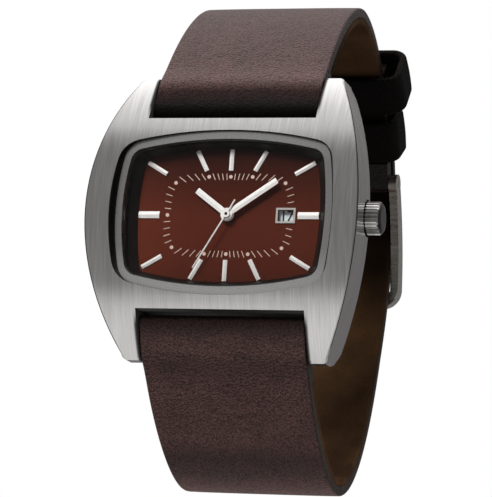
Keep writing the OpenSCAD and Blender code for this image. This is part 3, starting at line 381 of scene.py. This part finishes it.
def keeper(name, u, half_w, shift=0.0):
    """A band of leather with rolled edges and a bulged face, set square to the strap."""
    p, n, d = loop(u)
    centre = p + n * (LAYER_GAP / 2 - KEEPER_SINK)
    path = rounded_rect(half_w - KEEPER_T / 2, KEEPER_H / 2 - KEEPER_T / 2,
                        KEEPER_CORNER - KEEPER_T / 2, 8, (10, 10))
    flat = KEEPER_W / 2 - KEEPER_EDGE_R
    ring = []
    for (w, t), _ in rounded_rect(KEEPER_W / 2, KEEPER_T / 2, KEEPER_EDGE_R, 5, (6, 1)):
        bulge = KEEPER_BULGE * max(0.0, math.cos(math.pi / 2 * w / flat))
        ring.append((w, t + math.copysign(bulge, t)))
    verts = []
    for (x, h), (nx, nh) in path:
        for w, t in ring:
            q = centre + d * w + n * (h + nh * t)
            verts.append((x + shift + nx * t, q[0], q[1]))
    return make_mesh(name, verts, tube(len(path), len(ring), closed=True))


fixed_keeper = keeper("keeper_fixed_band", FIXED_KEEPER_U, FIXED_KEEPER_HALF_W)
free_keeper = keeper("keeper_free_band", FREE_KEEPER_U, FREE_KEEPER_HALF_W, FREE_KEEPER_SHIFT)

for piece, body, node, slot in (
        (strap_12, "case", "strap_12_leather", "leather_brown"),
        (lining_12, "case", "strap_12_lining", "lining_brown"),
        (strap_6, "case", "strap_6_leather", "leather_brown"),
        (lining_6, "case", "strap_6_lining", "lining_brown"),
        (fixed_keeper, "case", "fixed_keeper", "keeper_leather"),
        (free_keeper, "keeper", "free_keeper", "keeper_leather")):
    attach(piece, body)
    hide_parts(node)

# The dial's print: the minute track is a superellipse with these half axes and this power

TRACK_A, TRACK_B, TRACK_N = 8.85, 5.46, 4.9
UNDER_DATE = (14, 15, 16)
DOT_R = 0.26
TICK_HALF_L = 0.45
TICK_HALF_W = 0.05
PRINT_Z = 0.003
TICK_TOP = 0.025
DOT_TOP = 0.03
HUB_PIN_R = 0.22
HUB_PIN_Z = (0.002, 0.02)
DATE_X = 8.24
DATE_Z = 0.01
DATE_SIZE = 2.1
DATE_T = 0.008
DATE_BOLDER = 0.012
DATE_SHOWN = 17
DAYS = 31


def track(angle, grow):
    """A point of the minute track, drawn out by grow, at an angle clockwise from 12."""
    a = math.radians(90 - angle)
    c, s = math.cos(a), math.sin(a)
    level = abs(c / (TRACK_A + grow)) ** TRACK_N + abs(s / (TRACK_B + grow)) ** TRACK_N
    r = level ** (-1 / TRACK_N)
    return np.array([r * c, r * s])


def top_of(node):
    """Height of a CAD node's top above the dial's face."""
    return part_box(node)[1][2] / MM + ORIGIN[2]


verts, faces = [], []
for minute in range(60):
    if minute in UNDER_DATE:
        continue
    if minute % 5 == 0:
        prism(disc(track(minute * 6, 0), DOT_R), PRINT_Z, DOT_TOP, verts, faces)
        continue
    inner, outer = track(minute * 6, -TICK_HALF_L), track(minute * 6, TICK_HALF_L)
    along = (outer - inner) / np.linalg.norm(outer - inner)
    side = np.array([-along[1], along[0]]) * TICK_HALF_W
    prism([inner - side, outer - side, outer + side, inner + side], PRINT_Z, TICK_TOP, verts, faces)
minute_track = make_mesh("minute_track", verts, faces)
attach(minute_track, "case")

verts, faces = [], []
low, high = (top_of("seconds_hand") + z for z in HUB_PIN_Z)
prism(disc(np.zeros(2), HUB_PIN_R, 24), low, high, verts, faces)
hub_pin = make_mesh("hub_pin", verts, faces)
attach(hub_pin, "seconds")

axis = Matrix.Translation(at((0, 0, top_of("date_disc") + DATE_Z)))
bm = bmesh.new()
for day in range(1, DAYS + 1):
    curve = bpy.data.curves.new("date", "FONT")
    curve.body = str(day)
    curve.size = DATE_SIZE * MM
    curve.extrude = DATE_T * MM
    curve.offset = DATE_BOLDER * MM
    curve.space_character = 0.92
    curve.align_x = "CENTER"
    curve.align_y = "CENTER"
    turn = Matrix.Rotation(math.radians((day - DATE_SHOWN) * 360 / DAYS), 4, "Z")
    text = bpy.data.objects.new("date", curve)
    scene.collection.objects.link(text)
    bpy.context.view_layer.update()
    mesh = bpy.data.meshes.new_from_object(text)
    mesh.transform(axis @ turn @ Matrix.Translation((DATE_X * MM, 0, 0)))
    bpy.data.objects.remove(text, do_unlink=True)
    bm.from_mesh(mesh)
mesh = bpy.data.meshes.new("date_numbers")
bm.to_mesh(mesh)
bm.free()
date_numbers = bpy.data.objects.new("date_numbers", mesh)
scene.collection.objects.link(date_numbers)
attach(date_numbers, "date")


# Materials

class Tree:
    """Short ways to add shader nodes. Values are numbers, colours or other nodes' outputs."""

    def __init__(self, tree):
        self.tree = tree

    def put(self, socket, value):
        if isinstance(value, bpy.types.NodeSocket):
            self.tree.links.new(value, socket)
        else:
            socket.default_value = value

    def node(self, kind, settings=None, **inputs):
        """A node whose inputs are given by name, or as i0, i1 and so on by number."""
        node = self.tree.nodes.new("ShaderNode" + kind)
        for key, value in (settings or {}).items():
            setattr(node, key, value)
        for key, value in inputs.items():
            index = int(key[1:]) if key[0] == "i" and key[1:].isdigit() else key.replace("_", " ")
            self.put(node.inputs[index], value)
        return node

    def split(self, vector):
        return self.node("SeparateXYZ", Vector=vector).outputs

    def math(self, operation, a, b=0.0):
        return self.node("Math", {"operation": operation}, i0=a, i1=b).outputs[0]

    def add(self, a, b):
        return self.math("ADD", a, b)

    def times(self, a, b):
        return self.math("MULTIPLY", a, b)

    def blend(self, a, share_a, b, share_b):
        """Two values added up by their shares."""
        return self.add(self.times(a, share_a), self.times(b, share_b))

    def spread(self, value, low, high, f0=0.0, f1=1.0):
        """value mapped from f0..f1 to low..high, and kept within them."""
        node = self.node("MapRange", Value=value)
        for key, number in (("From Min", f0), ("From Max", f1), ("To Min", low), ("To Max", high)):
            node.inputs[key].default_value = number
        return node.outputs[0]

    def steps(self, value, stops):
        """A grey level read off a list of (value, level) stops."""
        first, last = stops[0][0], stops[-1][0]
        ramp = self.node("ValToRGB", Fac=self.spread(value, 0, 1, first, last))
        marks = ramp.color_ramp.elements
        while len(marks) < len(stops):
            marks.new(0.5)
        for mark, (place, _) in zip(marks, stops):
            mark.position = (place - first) / (last - first)
        for mark, (_, level) in zip(marks, stops):
            mark.color = (level, level, level, 1)
        return ramp.outputs[0]

    def tint(self, value, first, second, f0=0.0, f1=1.0):
        """A colour that goes from first to second as value goes from f0 to f1."""
        ramp = self.node("ValToRGB", Fac=value)
        for mark, place, colour in zip(ramp.color_ramp.elements, (f0, f1), (first, second)):
            mark.position = place
            mark.color = (*colour, 1)
        return ramp.outputs[0]

    def scaled(self, colour, level):
        """A colour times a grey level or another colour."""
        return self.node("VectorMath", {"operation": "MULTIPLY"}, i0=colour, i1=level).outputs[0]

    def mix(self, share, a, b):
        """The colour a, or b where share is 1."""
        return self.node("Mix", {"data_type": "RGBA"}, i0=share, i6=a, i7=b).outputs[2]


class Finish(Tree):
    """A node material: a Principled shader and the nodes that vary it."""

    def __init__(self, name, colour, rough, metal=0.0, **sockets):
        self.mat = bpy.data.materials.new(name)
        self.mat.use_nodes = True
        super().__init__(self.mat.node_tree)
        self.shader = self.tree.nodes["Principled BSDF"]
        self.wire(Base_Color=(*colour, 1), Roughness=rough, Metallic=metal, **sockets)
        self.mat.diffuse_color = (*colour, 1)

    def wire(self, **sockets):
        """Sets or links the shader's sockets."""
        for key, value in sockets.items():
            self.put(self.shader.inputs[key.replace("_", " ")], value)
        return self

    def tangent(self, axis):
        """Brushes the metal round this axis."""
        node = self.node("Tangent", {"direction_type": "RADIAL", "axis": axis})
        return self.wire(Tangent=node.outputs[0])

    def space(self, scale=(1, 1, 1)):
        """Object coordinates in millimetres, times scale."""
        coords = self.node("TexCoord").outputs["Object"]
        return self.node("Mapping", Vector=coords, Scale=tuple(s / MM for s in scale)).outputs[0]

    def place(self):
        """Position in millimetres from the dial's centre, as x, y and z."""
        moved = self.node("VectorMath", {"operation": "ADD"}, i0=self.space(), i1=tuple(ORIGIN))
        return self.split(moved.outputs[0])

    def facing(self):
        """The surface's normal, as x, y and z."""
        return self.split(self.node("TexCoord").outputs["Normal"])

    def noise(self, where, scale=1.0, detail=3.0, rough=0.5, distort=0.0):
        return self.node("TexNoise", Vector=where, Scale=scale, Detail=detail, Roughness=rough,
                         Distortion=distort).outputs["Fac"]

    def bump(self, height, distance, strength=1.0, below=None):
        node = self.node("Bump", Strength=strength, Distance=distance * MM, Height=height)
        if below is not None:
            self.put(node.inputs["Normal"], below)
        return node.outputs[0]


def brushed(name, colour, rough, grain, anisotropy=0.6, axis="Y", contrast=0.12):
    """Metal with fine brush lines. grain says how often the lines change along x, y and z."""
    f = Finish(name, colour, rough, 1.0, Anisotropic=anisotropy)
    fine = f.noise(f.space(grain), 1.0, 4.0, 0.6)
    broad = f.noise(f.space(tuple(g * 0.18 for g in grain)), 1.0, 3.0, 0.6)
    both = f.blend(fine, 0.6, broad, 0.4)
    dark = tuple(c * (1 - contrast) for c in colour)
    light = tuple(min(1, c * (1 + contrast)) for c in colour)
    f.wire(Base_Color=f.tint(both, dark, light, 0.35, 0.65),
           Roughness=f.spread(both, rough * 0.8, rough * 1.25, 0.3, 0.7))
    return f.tangent(axis)


def mottled(name, colour, rough, scale, low, high, metal=0.0, detail=3.0, ends=(0.0, 1.0),
            **sockets):
    """A plain material whose roughness goes from low to high in small patches."""
    f = Finish(name, colour, rough, metal, **sockets)
    return f.wire(Roughness=f.spread(f.noise(f.space((scale,) * 3), 1.0, detail), low, high, *ends))


def moulded(name, colour, rough, scale, depth):
    """A plain material with a faint moulded grain."""
    f = Finish(name, colour, rough)
    return f.wire(Normal=f.bump(f.noise(f.space((scale,) * 3)), depth))


CASE_SIDE_R = 42.15
CASE_HALF_W = 19.54
SLOT_WALL_X = 12.2
SLOT_WALL_Y = 11.5


def case_finish():
    """Case steel, brushed from 12 to 6 over the face and along the sides."""
    f = Finish("case_steel_brushed", (0.64, 0.63, 0.625), 0.28, 1.0, Anisotropic=0.75)
    x, y, z = f.place()
    n_x, n_y, n_z = f.facing()
    from_x, from_y = f.math("ABSOLUTE", x), f.math("ABSOLUTE", y)
    on_side = f.spread(f.math("ABSOLUTE", n_x), 0, 1, 0.6, 0.8)
    line = f.blend(x, f.math("SUBTRACT", 1.0, on_side), z, on_side)
    fine_at = f.node("CombineXYZ", X=f.times(line, 5.0), Y=f.times(y, 0.16)).outputs[0]
    broad_at = f.node("CombineXYZ", X=line, Y=f.times(y, 0.05)).outputs[0]
    both = f.blend(f.noise(fine_at, 1.0, 1.5, 0.6), 0.6, f.noise(broad_at, 1.0, 2.0, 0.6), 0.4)
    brush = f.tint(both, (0.55, 0.545, 0.54), (0.73, 0.72, 0.71), 0.35, 0.65)
    # A thin line of painted shade follows the face's long edges, which are arcs
    root = f.math("SQRT", f.math("SUBTRACT", CASE_SIDE_R**2, f.times(y, y)))
    reach = f.add(from_x, f.math("SUBTRACT", CASE_SIDE_R, root))
    seam_shade = f.times(f.spread(reach, 0, 1, CASE_HALF_W - 0.2, CASE_HALF_W - 0.1),
                   f.spread(n_z, 0, 1, 0.78, 0.84))
    # Painted shade: the walls of the groove round the bezel face inwards and are painted dark
    inward = f.blend(n_x, x, n_y, y)
    groove_shade = f.times(f.spread(inward, 1, 0, -6.0, -3.0), f.spread(n_z, 1, 0, 0.3, 0.5))
    groove_shade = f.times(groove_shade, f.spread(from_y, 1, 0, 13.5, 14.5))
    # Painted shade darkens the walls and low faces of the strap's slots, and they are dull as well
    slot_shade = f.math("MAXIMUM", f.spread(n_z, 1, 0, 0.2, 0.5), f.spread(z, 1, 0, 0.5, 1.5))
    slot_shade = f.times(f.spread(from_x, 1, 0, SLOT_WALL_X, SLOT_WALL_X + 0.4), slot_shade)
    slot_shade = f.times(slot_shade, f.spread(from_y, 0, 0.85, SLOT_WALL_Y, SLOT_WALL_Y + 0.5))
    # These three masks darken the brushed steel as painted shade
    dark = f.math("MAXIMUM", seam_shade, f.math("MAXIMUM", groove_shade, slot_shade))
    f.wire(Base_Color=f.mix(dark, brush, (0.03, 0.03, 0.03, 1)),
           Roughness=f.math("MAXIMUM", slot_shade, f.spread(both, 0.17, 0.27, 0.3, 0.7)))
    return f.tangent("Y")


def bezel_finish():
    """Satin steel with a painted highlight towards 12 and 6."""
    f = Finish("bezel_steel_satin", (0.64, 0.63, 0.62), 0.3, 1.0, Anisotropic=0.3)
    grit = f.noise(f.space((3, 3, 3)), 1.0, 2.0)
    # Painted highlight: a lighter base colour towards 12 and 6
    ends = f.steps(f.place()[1], [(-11.0, 1.0), (-8.0, 0.5), (-5.0, 0.0), (7.0, 0.0), (10.0, 0.55)])
    return f.wire(Base_Color=f.mix(ends, (0.6, 0.59, 0.58, 1), (1, 1, 0.99, 1)),
                  Roughness=f.spread(grit, 0.26, 0.34, 0.3, 0.7))


CROWN_Z, CROWN_R = -1.5, 2.3


def crown_finish():
    """Turned steel, with painted shade in the valleys of the crown's flutes."""
    f = Finish("crown_steel_turned", (0.6, 0.59, 0.58), 0.12, 1.0)
    _, y, z = f.place()
    z = f.math("SUBTRACT", z, CROWN_Z)
    radius = f.math("SQRT", f.blend(y, y, z, z))
    # Painted shade: the colour goes dark below the flutes' outer radius
    return f.wire(Base_Color=f.tint(f.spread(radius, 0, 1, CROWN_R - 0.25, CROWN_R - 0.05),
                                    (0.05, 0.05, 0.05), (0.62, 0.61, 0.6)))


def dial_finish():
    """Sunray lacquer, with painted shade towards 12 and a painted highlight towards 9."""
    f = Finish("dial_brown_sunray", (0.2, 0.05, 0.032), 0.34, 0.3, Anisotropic=0.75,
               Specular_IOR_Level=0.15)
    x, y, _ = f.place()
    ray_at = f.node("CombineXYZ", X=f.math("ARCTAN2", y, x)).outputs[0]
    rays = f.noise(ray_at, 26.0, 4.0, 0.7)
    sunray = f.tint(rays, (0.048, 0.0095, 0.0045), (0.07, 0.0138, 0.0066), 0.3, 0.7)
    # Painted shade, darkening the lacquer towards 12
    lacquer_and_shade = f.mix(f.spread(y, 0.0, 0.85, 0.0, 9.0), sunray, (0.008, 0.003, 0.0025, 1))
    # Painted highlight, lightening the colour towards 9
    f.wire(Base_Color=f.scaled(lacquer_and_shade, f.steps(x, [(-15.0, 1.45), (-6.0, 1.05), (0.0, 1.0)])),
           Roughness=f.spread(rays, 0.28, 0.42, 0.3, 0.7))
    return f.tangent("Z")


# Light and shade painted into the leather's colour by height, on the half at 12 and on the one at
# 6. It is dark where the strap dives into the lugs, partly from burnished ends and partly as
# painted shade, and lighter where painted sheen falls.
DYE_LIGHT_AND_SHADE_12 = [(-6.0, 0.42), (-2.2, 0.6), (-1.4, 0.46), (-0.9, 0.14), (0.0, 0.01)]
DYE_LIGHT_AND_SHADE_6 = [(-24.0, 2.2), (-20.5, 1.5), (-17.5, 0.8), (-14.5, 0.55), (-11.5, 1.14), (-4.0, 0.68),
         (-1.2, 0.52), (-0.7, 0.42), (-0.2, 0.24), (0.3, 0.04)]
# How much duller the leather is there
MATT_12 = [(-1.7, 0.0), (-0.9, 0.45)]
MATT_6 = [(-0.6, 0.0), (0.2, 0.3)]
GRAIN = 0.34
GRAIN_DEPTH = 0.19


def leather(name, dark, light, rough, spec, coat, paint):
    """Grained leather, with pores, faint creases, uneven dye, painted edges, and painted light and
    shade by height.
    """
    f = Finish(name, light, rough, Specular_IOR_Level=spec, Specular_Tint=(1, 0.95, 0.93, 1),
               Coat_Weight=coat, Coat_Roughness=0.35)
    where = f.space()
    cells = f.node("TexVoronoi", {"feature": "F1"}, Vector=where, Scale=1 / GRAIN,
                   Randomness=1.0).outputs["Distance"]
    pores = f.noise(where, 1 / (GRAIN * 0.8), 2.0, 0.6)
    cloud = f.noise(where, 0.22, 4.0, 0.6, 0.6)
    creases = f.bump(f.noise(where, 0.55), GRAIN_DEPTH * 2.5, 0.5)
    height = f.blend(cells, -0.8, pores, 0.7)
    specks = f.spread(f.math("SUBTRACT", pores, f.times(cells, 0.5)), 0.52, 1.48, 0.0, 0.5)
    _, y, z = f.place()
    half = f.steps(y, [(-2.0, 0.0), (2.0, 1.0)])
    # Painted light and shade by height, from the tables above
    level = f.mix(half, f.steps(z, DYE_LIGHT_AND_SHADE_6), f.steps(z, DYE_LIGHT_AND_SHADE_12))
    dye = f.tint(f.blend(cloud, 0.45, pores, 0.55), dark, light, 0.36, 0.64)
    colour = f.scaled(f.scaled(dye, level), specks)
    n_x, _, n_z = f.facing()
    edge = f.spread(f.math("ABSOLUTE", n_x), 0, 1, 0.55, 0.8)
    # Painted shade on the side that lies on the wrist, low down
    inner = f.times(f.spread(n_z, 0, 1, 0.1, 0.4), f.spread(z, 1, 0, -40.0, -34.0))
    colour = f.mix(inner, colour, (0.0015, 0.0008, 0.0006, 1))
    uneven = f.spread(f.blend(cloud, 0.5, cells, 0.5), rough * 0.85, rough * 1.3, 0.15, 0.6)
    matt = f.mix(half, f.steps(z, MATT_6), f.steps(z, MATT_12))
    return f.wire(Base_Color=f.mix(edge, colour, (*paint, 1)),
                  Roughness=f.add(uneven, matt),
                  Normal=f.bump(height, GRAIN_DEPTH, 1.0, creases))


# Light and shade painted along the lining from 6 to 12: lighter at 6, and in shade in the middle
LINING_LIGHT_AND_SHADE = [(-34, 1.0), (-27, 0.9), (-18, 0.46), (-8, 0.6), (2, 0.15), (18, 0.08), (26, 0.2),
        (32, 0.62), (36, 0.7)]


def suede_finish():
    """The lining's suede, with painted shade where the strap lies doubled and painted light and
    shade along its length.
    """
    f = Finish("lining_brown_suede", (0.05, 0.03, 0.018), 0.9, Specular_IOR_Level=0.08)
    where = f.space()
    nap = f.noise(where, 3.2, 5.0, 0.65)
    patch = f.noise(where, 0.18)
    _, y, z = f.place()
    dye = f.tint(f.blend(nap, 0.4, patch, 0.6), (0.06, 0.03, 0.014), (0.11, 0.056, 0.025),
                 0.38, 0.62)
    # Painted shade where the halves lie doubled
    doubled_shade = f.times(f.spread(y, 0, 1, 5, 10), f.spread(z, 1, 0, -40, -36))
    level = f.mix(doubled_shade, f.steps(y, LINING_LIGHT_AND_SHADE), (0.04, 0.04, 0.04, 1))
    return f.wire(Base_Color=f.scaled(dye, level), Normal=f.bump(nap, 0.06))


silver = Finish("silver_lacquer", (0.58, 0.56, 0.54), 0.3, 0.2)
silver.wire(Base_Color=silver.tint(silver.noise(silver.space((4, 4, 4))),
                                   (0.54, 0.52, 0.5), (0.62, 0.6, 0.58), 0.3, 0.7))
glass = Finish("crystal_glass_clear", (1, 1, 1), 0.015, 1.0)
glass.wire(Alpha=glass.node("Fresnel", IOR=1.22).outputs[0])
board = Finish("board_green_lacquer", (0.02, 0.13, 0.05), 0.35)
board.wire(Base_Color=board.tint(board.noise(board.space((2, 2, 2))),
                                 (0.015, 0.1, 0.04), (0.03, 0.16, 0.06)))
print_white = mottled("print_white", (0.36, 0.27, 0.23), 0.5, 9, 0.4, 0.6)
ink = mottled("print_black", (0.01, 0.01, 0.01), 0.5, 9, 0.4, 0.6)
brown = leather("leather_brown_grained", (0.045, 0.0215, 0.019), (0.086, 0.0415, 0.0375), 0.35,
                spec=0.32, coat=0.04, paint=(0.018, 0.0088, 0.0056))
black_leather = leather("keeper_leather_black", (0.0016, 0.0012, 0.001),
                        (0.004, 0.0034, 0.0028), 0.55,
                        spec=0.1, coat=0.0, paint=(0.002, 0.0016, 0.0013))
suede = suede_finish()

BY_SLOT = {
    "case_steel": case_finish(),
    "satin_steel": brushed("satin_steel_fine", (0.5, 0.5, 0.49), 0.26, (6.0, 6.0, 6.0), 0.2,
                           contrast=0.03),
    "dark_steel": brushed("dark_steel_brushed", (0.7, 0.7, 0.65), 0.28, (0.4, 5.0, 5.0), 0.4, "X"),
    "nickel": brushed("nickel_plain", (0.66, 0.64, 0.6), 0.22, (5.0, 5.0, 5.0), 0.0, contrast=0.04),
    "brass": brushed("brass_gilt", (0.72, 0.52, 0.22), 0.25, (6.0, 6.0, 6.0), 0.0, contrast=0.06),
    "copper_coil": brushed("copper_winding", (0.75, 0.36, 0.2), 0.3, (22.0, 0.5, 0.5), 0.5, "X",
                           contrast=0.15),
    "silver_hands": silver,
    "crystal_glass": glass,
    "black_rubber": moulded("black_rubber_matt", (0.018, 0.018, 0.018), 0.55, 6, 0.01),
    "holder_plastic": moulded("holder_plastic_moulded", (0.3, 0.3, 0.31), 0.5, 5, 0.006),
    "flange_black": mottled("flange_black_matt", (0.005, 0.004, 0.0035), 0.45, 5, 0.36, 0.5,
                            detail=2.0, ends=(0.3, 0.7), Specular_IOR_Level=0.25),
    "dial_brown": dial_finish(),
    "date_white": mottled("date_white_matt", (0.36, 0.39, 0.4), 0.5, 3, 0.4, 0.6),
    "board_green": board,
    "leather_brown": brown,
    "lining_brown": suede,
    "keeper_leather": black_leather,
}
BY_NODE = {
    "crown": crown_finish(),
    "bezel_ring": bezel_finish(),
    "date_window_frame": mottled("date_frame_metal", (0.36, 0.33, 0.31), 0.35, 5, 0.3, 0.42,
                                 metal=0.4),
}
for name, obj in nodes.items():
    slot_name = obj.material_slots[0].material.name.split(".")[0]
    obj.material_slots[0].material = BY_NODE.get(name, BY_SLOT[slot_name]).mat
for piece, finish in ((strap_12, brown), (strap_6, brown), (lining_12, suede), (lining_6, suede),
                      (fixed_keeper, black_leather), (free_keeper, black_leather),
                      (minute_track, print_white), (date_numbers, ink), (hub_pin, ink)):
    piece.data.materials.clear()
    piece.data.materials.append(finish.mat)

# The stage: a floor and a room, both white to the camera and graded in the metal's reflections

scene.view_settings.view_transform = "Standard"
scene.view_settings.look = "None"
scene.view_settings.exposure = 0
scene.view_settings.gamma = 1

# Brightness of the floor by its distance towards 12, in metres
FLOOR = [(-1.0, 0.1), (-0.4, 0.02), (-0.1, 0.02), (-0.085, 0.16), (-0.055, 0.2), (-0.035, 0.1),
         (0.035, 0.1), (0.12, 0.7), (0.2, 1.0), (1.0, 1.0)]
FLOOR_STRENGTH = 1.9
FLOOR_HALF = 3
# Brightness of the room by direction, from 6 o'clock's side to 12 o'clock's
ROOM = [(-1.0, 0.92), (-0.72, 0.9), (-0.56, 0.76), (-0.5, 0.52), (-0.42, 0.27), (0.2, 0.24),
        (0.66, 0.25), (0.74, 0.42), (0.8, 0.85), (1.0, 1.1)]


def seen_or_lit(tree, seen, lit):
    """A shader that is seen by the camera and another one for all other rays."""
    camera_ray = tree.node("LightPath").outputs["Is Camera Ray"]
    return tree.node("MixShader", i0=camera_ray, i1=lit.outputs[0], i2=seen.outputs[0]).outputs[0]


floor_mesh = bpy.data.meshes.new("floor")
floor_corners = [(x * FLOOR_HALF, y * FLOOR_HALF, 0)
                 for x, y in ((-1, -1), (1, -1), (1, 1), (-1, 1))]
floor_mesh.from_pydata(floor_corners, [], [(0, 1, 2, 3)])
floor = bpy.data.objects.new("floor", floor_mesh)
scene.collection.objects.link(floor)
floor_mat = bpy.data.materials.new("floor_pale")
floor_mat.use_nodes = True
floor_mat.node_tree.nodes.clear()
pale = Tree(floor_mat.node_tree)
towards_12 = pale.split(pale.node("TexCoord").outputs["Object"])[1]
lit = pale.node("Emission", Color=(1, 0.97, 0.97, 1),
                Strength=pale.times(pale.steps(towards_12, FLOOR), FLOOR_STRENGTH))
seen = pale.node("Emission", Color=(1, 1, 1, 1))
pale.node("OutputMaterial", Surface=seen_or_lit(pale, seen, lit))
floor_mesh.materials.append(floor_mat)

world = bpy.data.worlds.new("studio")
scene.world = world
world.use_nodes = True
world.node_tree.nodes.clear()
room = Tree(world.node_tree)
_, towards_12, up = room.split(room.node("TexCoord").outputs["Generated"])
# Near the horizon the wall towards 12 glows more and the one towards 6 less
wall_12 = room.spread(towards_12, 0.0, 0.9, 0.5, 0.85)
wall_6 = room.spread(towards_12, -0.92, 0.0, -0.85, -0.5)
near_horizon = room.spread(up, 1.0, 0.0, 0.0, 0.35)
lit = room.node("Background", Color=room.scaled(room.steps(towards_12, ROOM), (1, 0.99, 0.985)),
                Strength=room.add(room.times(room.add(wall_12, wall_6), near_horizon), 1.0))
seen = room.node("Background", Color=(1, 1, 1, 1))
room.node("OutputWorld", Surface=seen_or_lit(room, seen, lit))

AIM = Vector((0, 0, 0.055))


def softbox(name, direction, distance, size, watts):
    """A lamp that points at the case from a distance in metres, and isn't seen in the metal."""
    light = bpy.data.lights.new(name, "AREA")
    light.shape = "RECTANGLE"
    light.size, light.size_y = size
    light.energy = watts
    obj = bpy.data.objects.new(name, light)
    d = Vector(direction).normalized()
    obj.location = AIM + d * distance
    obj.rotation_euler = d.to_track_quat("Z", "Y").to_euler()
    obj.visible_glossy = False
    scene.collection.objects.link(obj)


softbox("key", (-0.3, 0.7, 0.78), 0.6, (0.2, 0.2), 8.0)
softbox("fill", (0.6, -0.6, 0.6), 0.7, (0.4, 0.3), 1.0)

# The camera, as fitted to the photo: its place, its axes, and its focal length in pixels

EYE = np.array([128.448043, -87.609839, 416.804782])
RIGHT = Vector((0.958953, 0.064247, -0.276189))
UP = Vector((-0.008721, 0.980217, 0.197735))
AHEAD = Vector((-0.283429, 0.18721, -0.940543))
FOCAL_PX = 3217.455
PHOTO_H = 497
SENSOR = 36
camera_data = bpy.data.cameras.new("camera")
camera_data.sensor_width = SENSOR
camera_data.sensor_fit = "AUTO"
camera_data.lens = FOCAL_PX * SENSOR / PHOTO_H
camera_data.clip_start = 0.01
camera_data.clip_end = 20
camera = bpy.data.objects.new("camera", camera_data)
scene.collection.objects.link(camera)
back = -AHEAD
camera.matrix_world = Matrix((
    (RIGHT.x, UP.x, back.x, at(EYE)[0]),
    (RIGHT.y, UP.y, back.y, at(EYE)[1]),
    (RIGHT.z, UP.z, back.z, at(EYE)[2]),
    (0, 0, 0, 1)))
scene.camera = camera
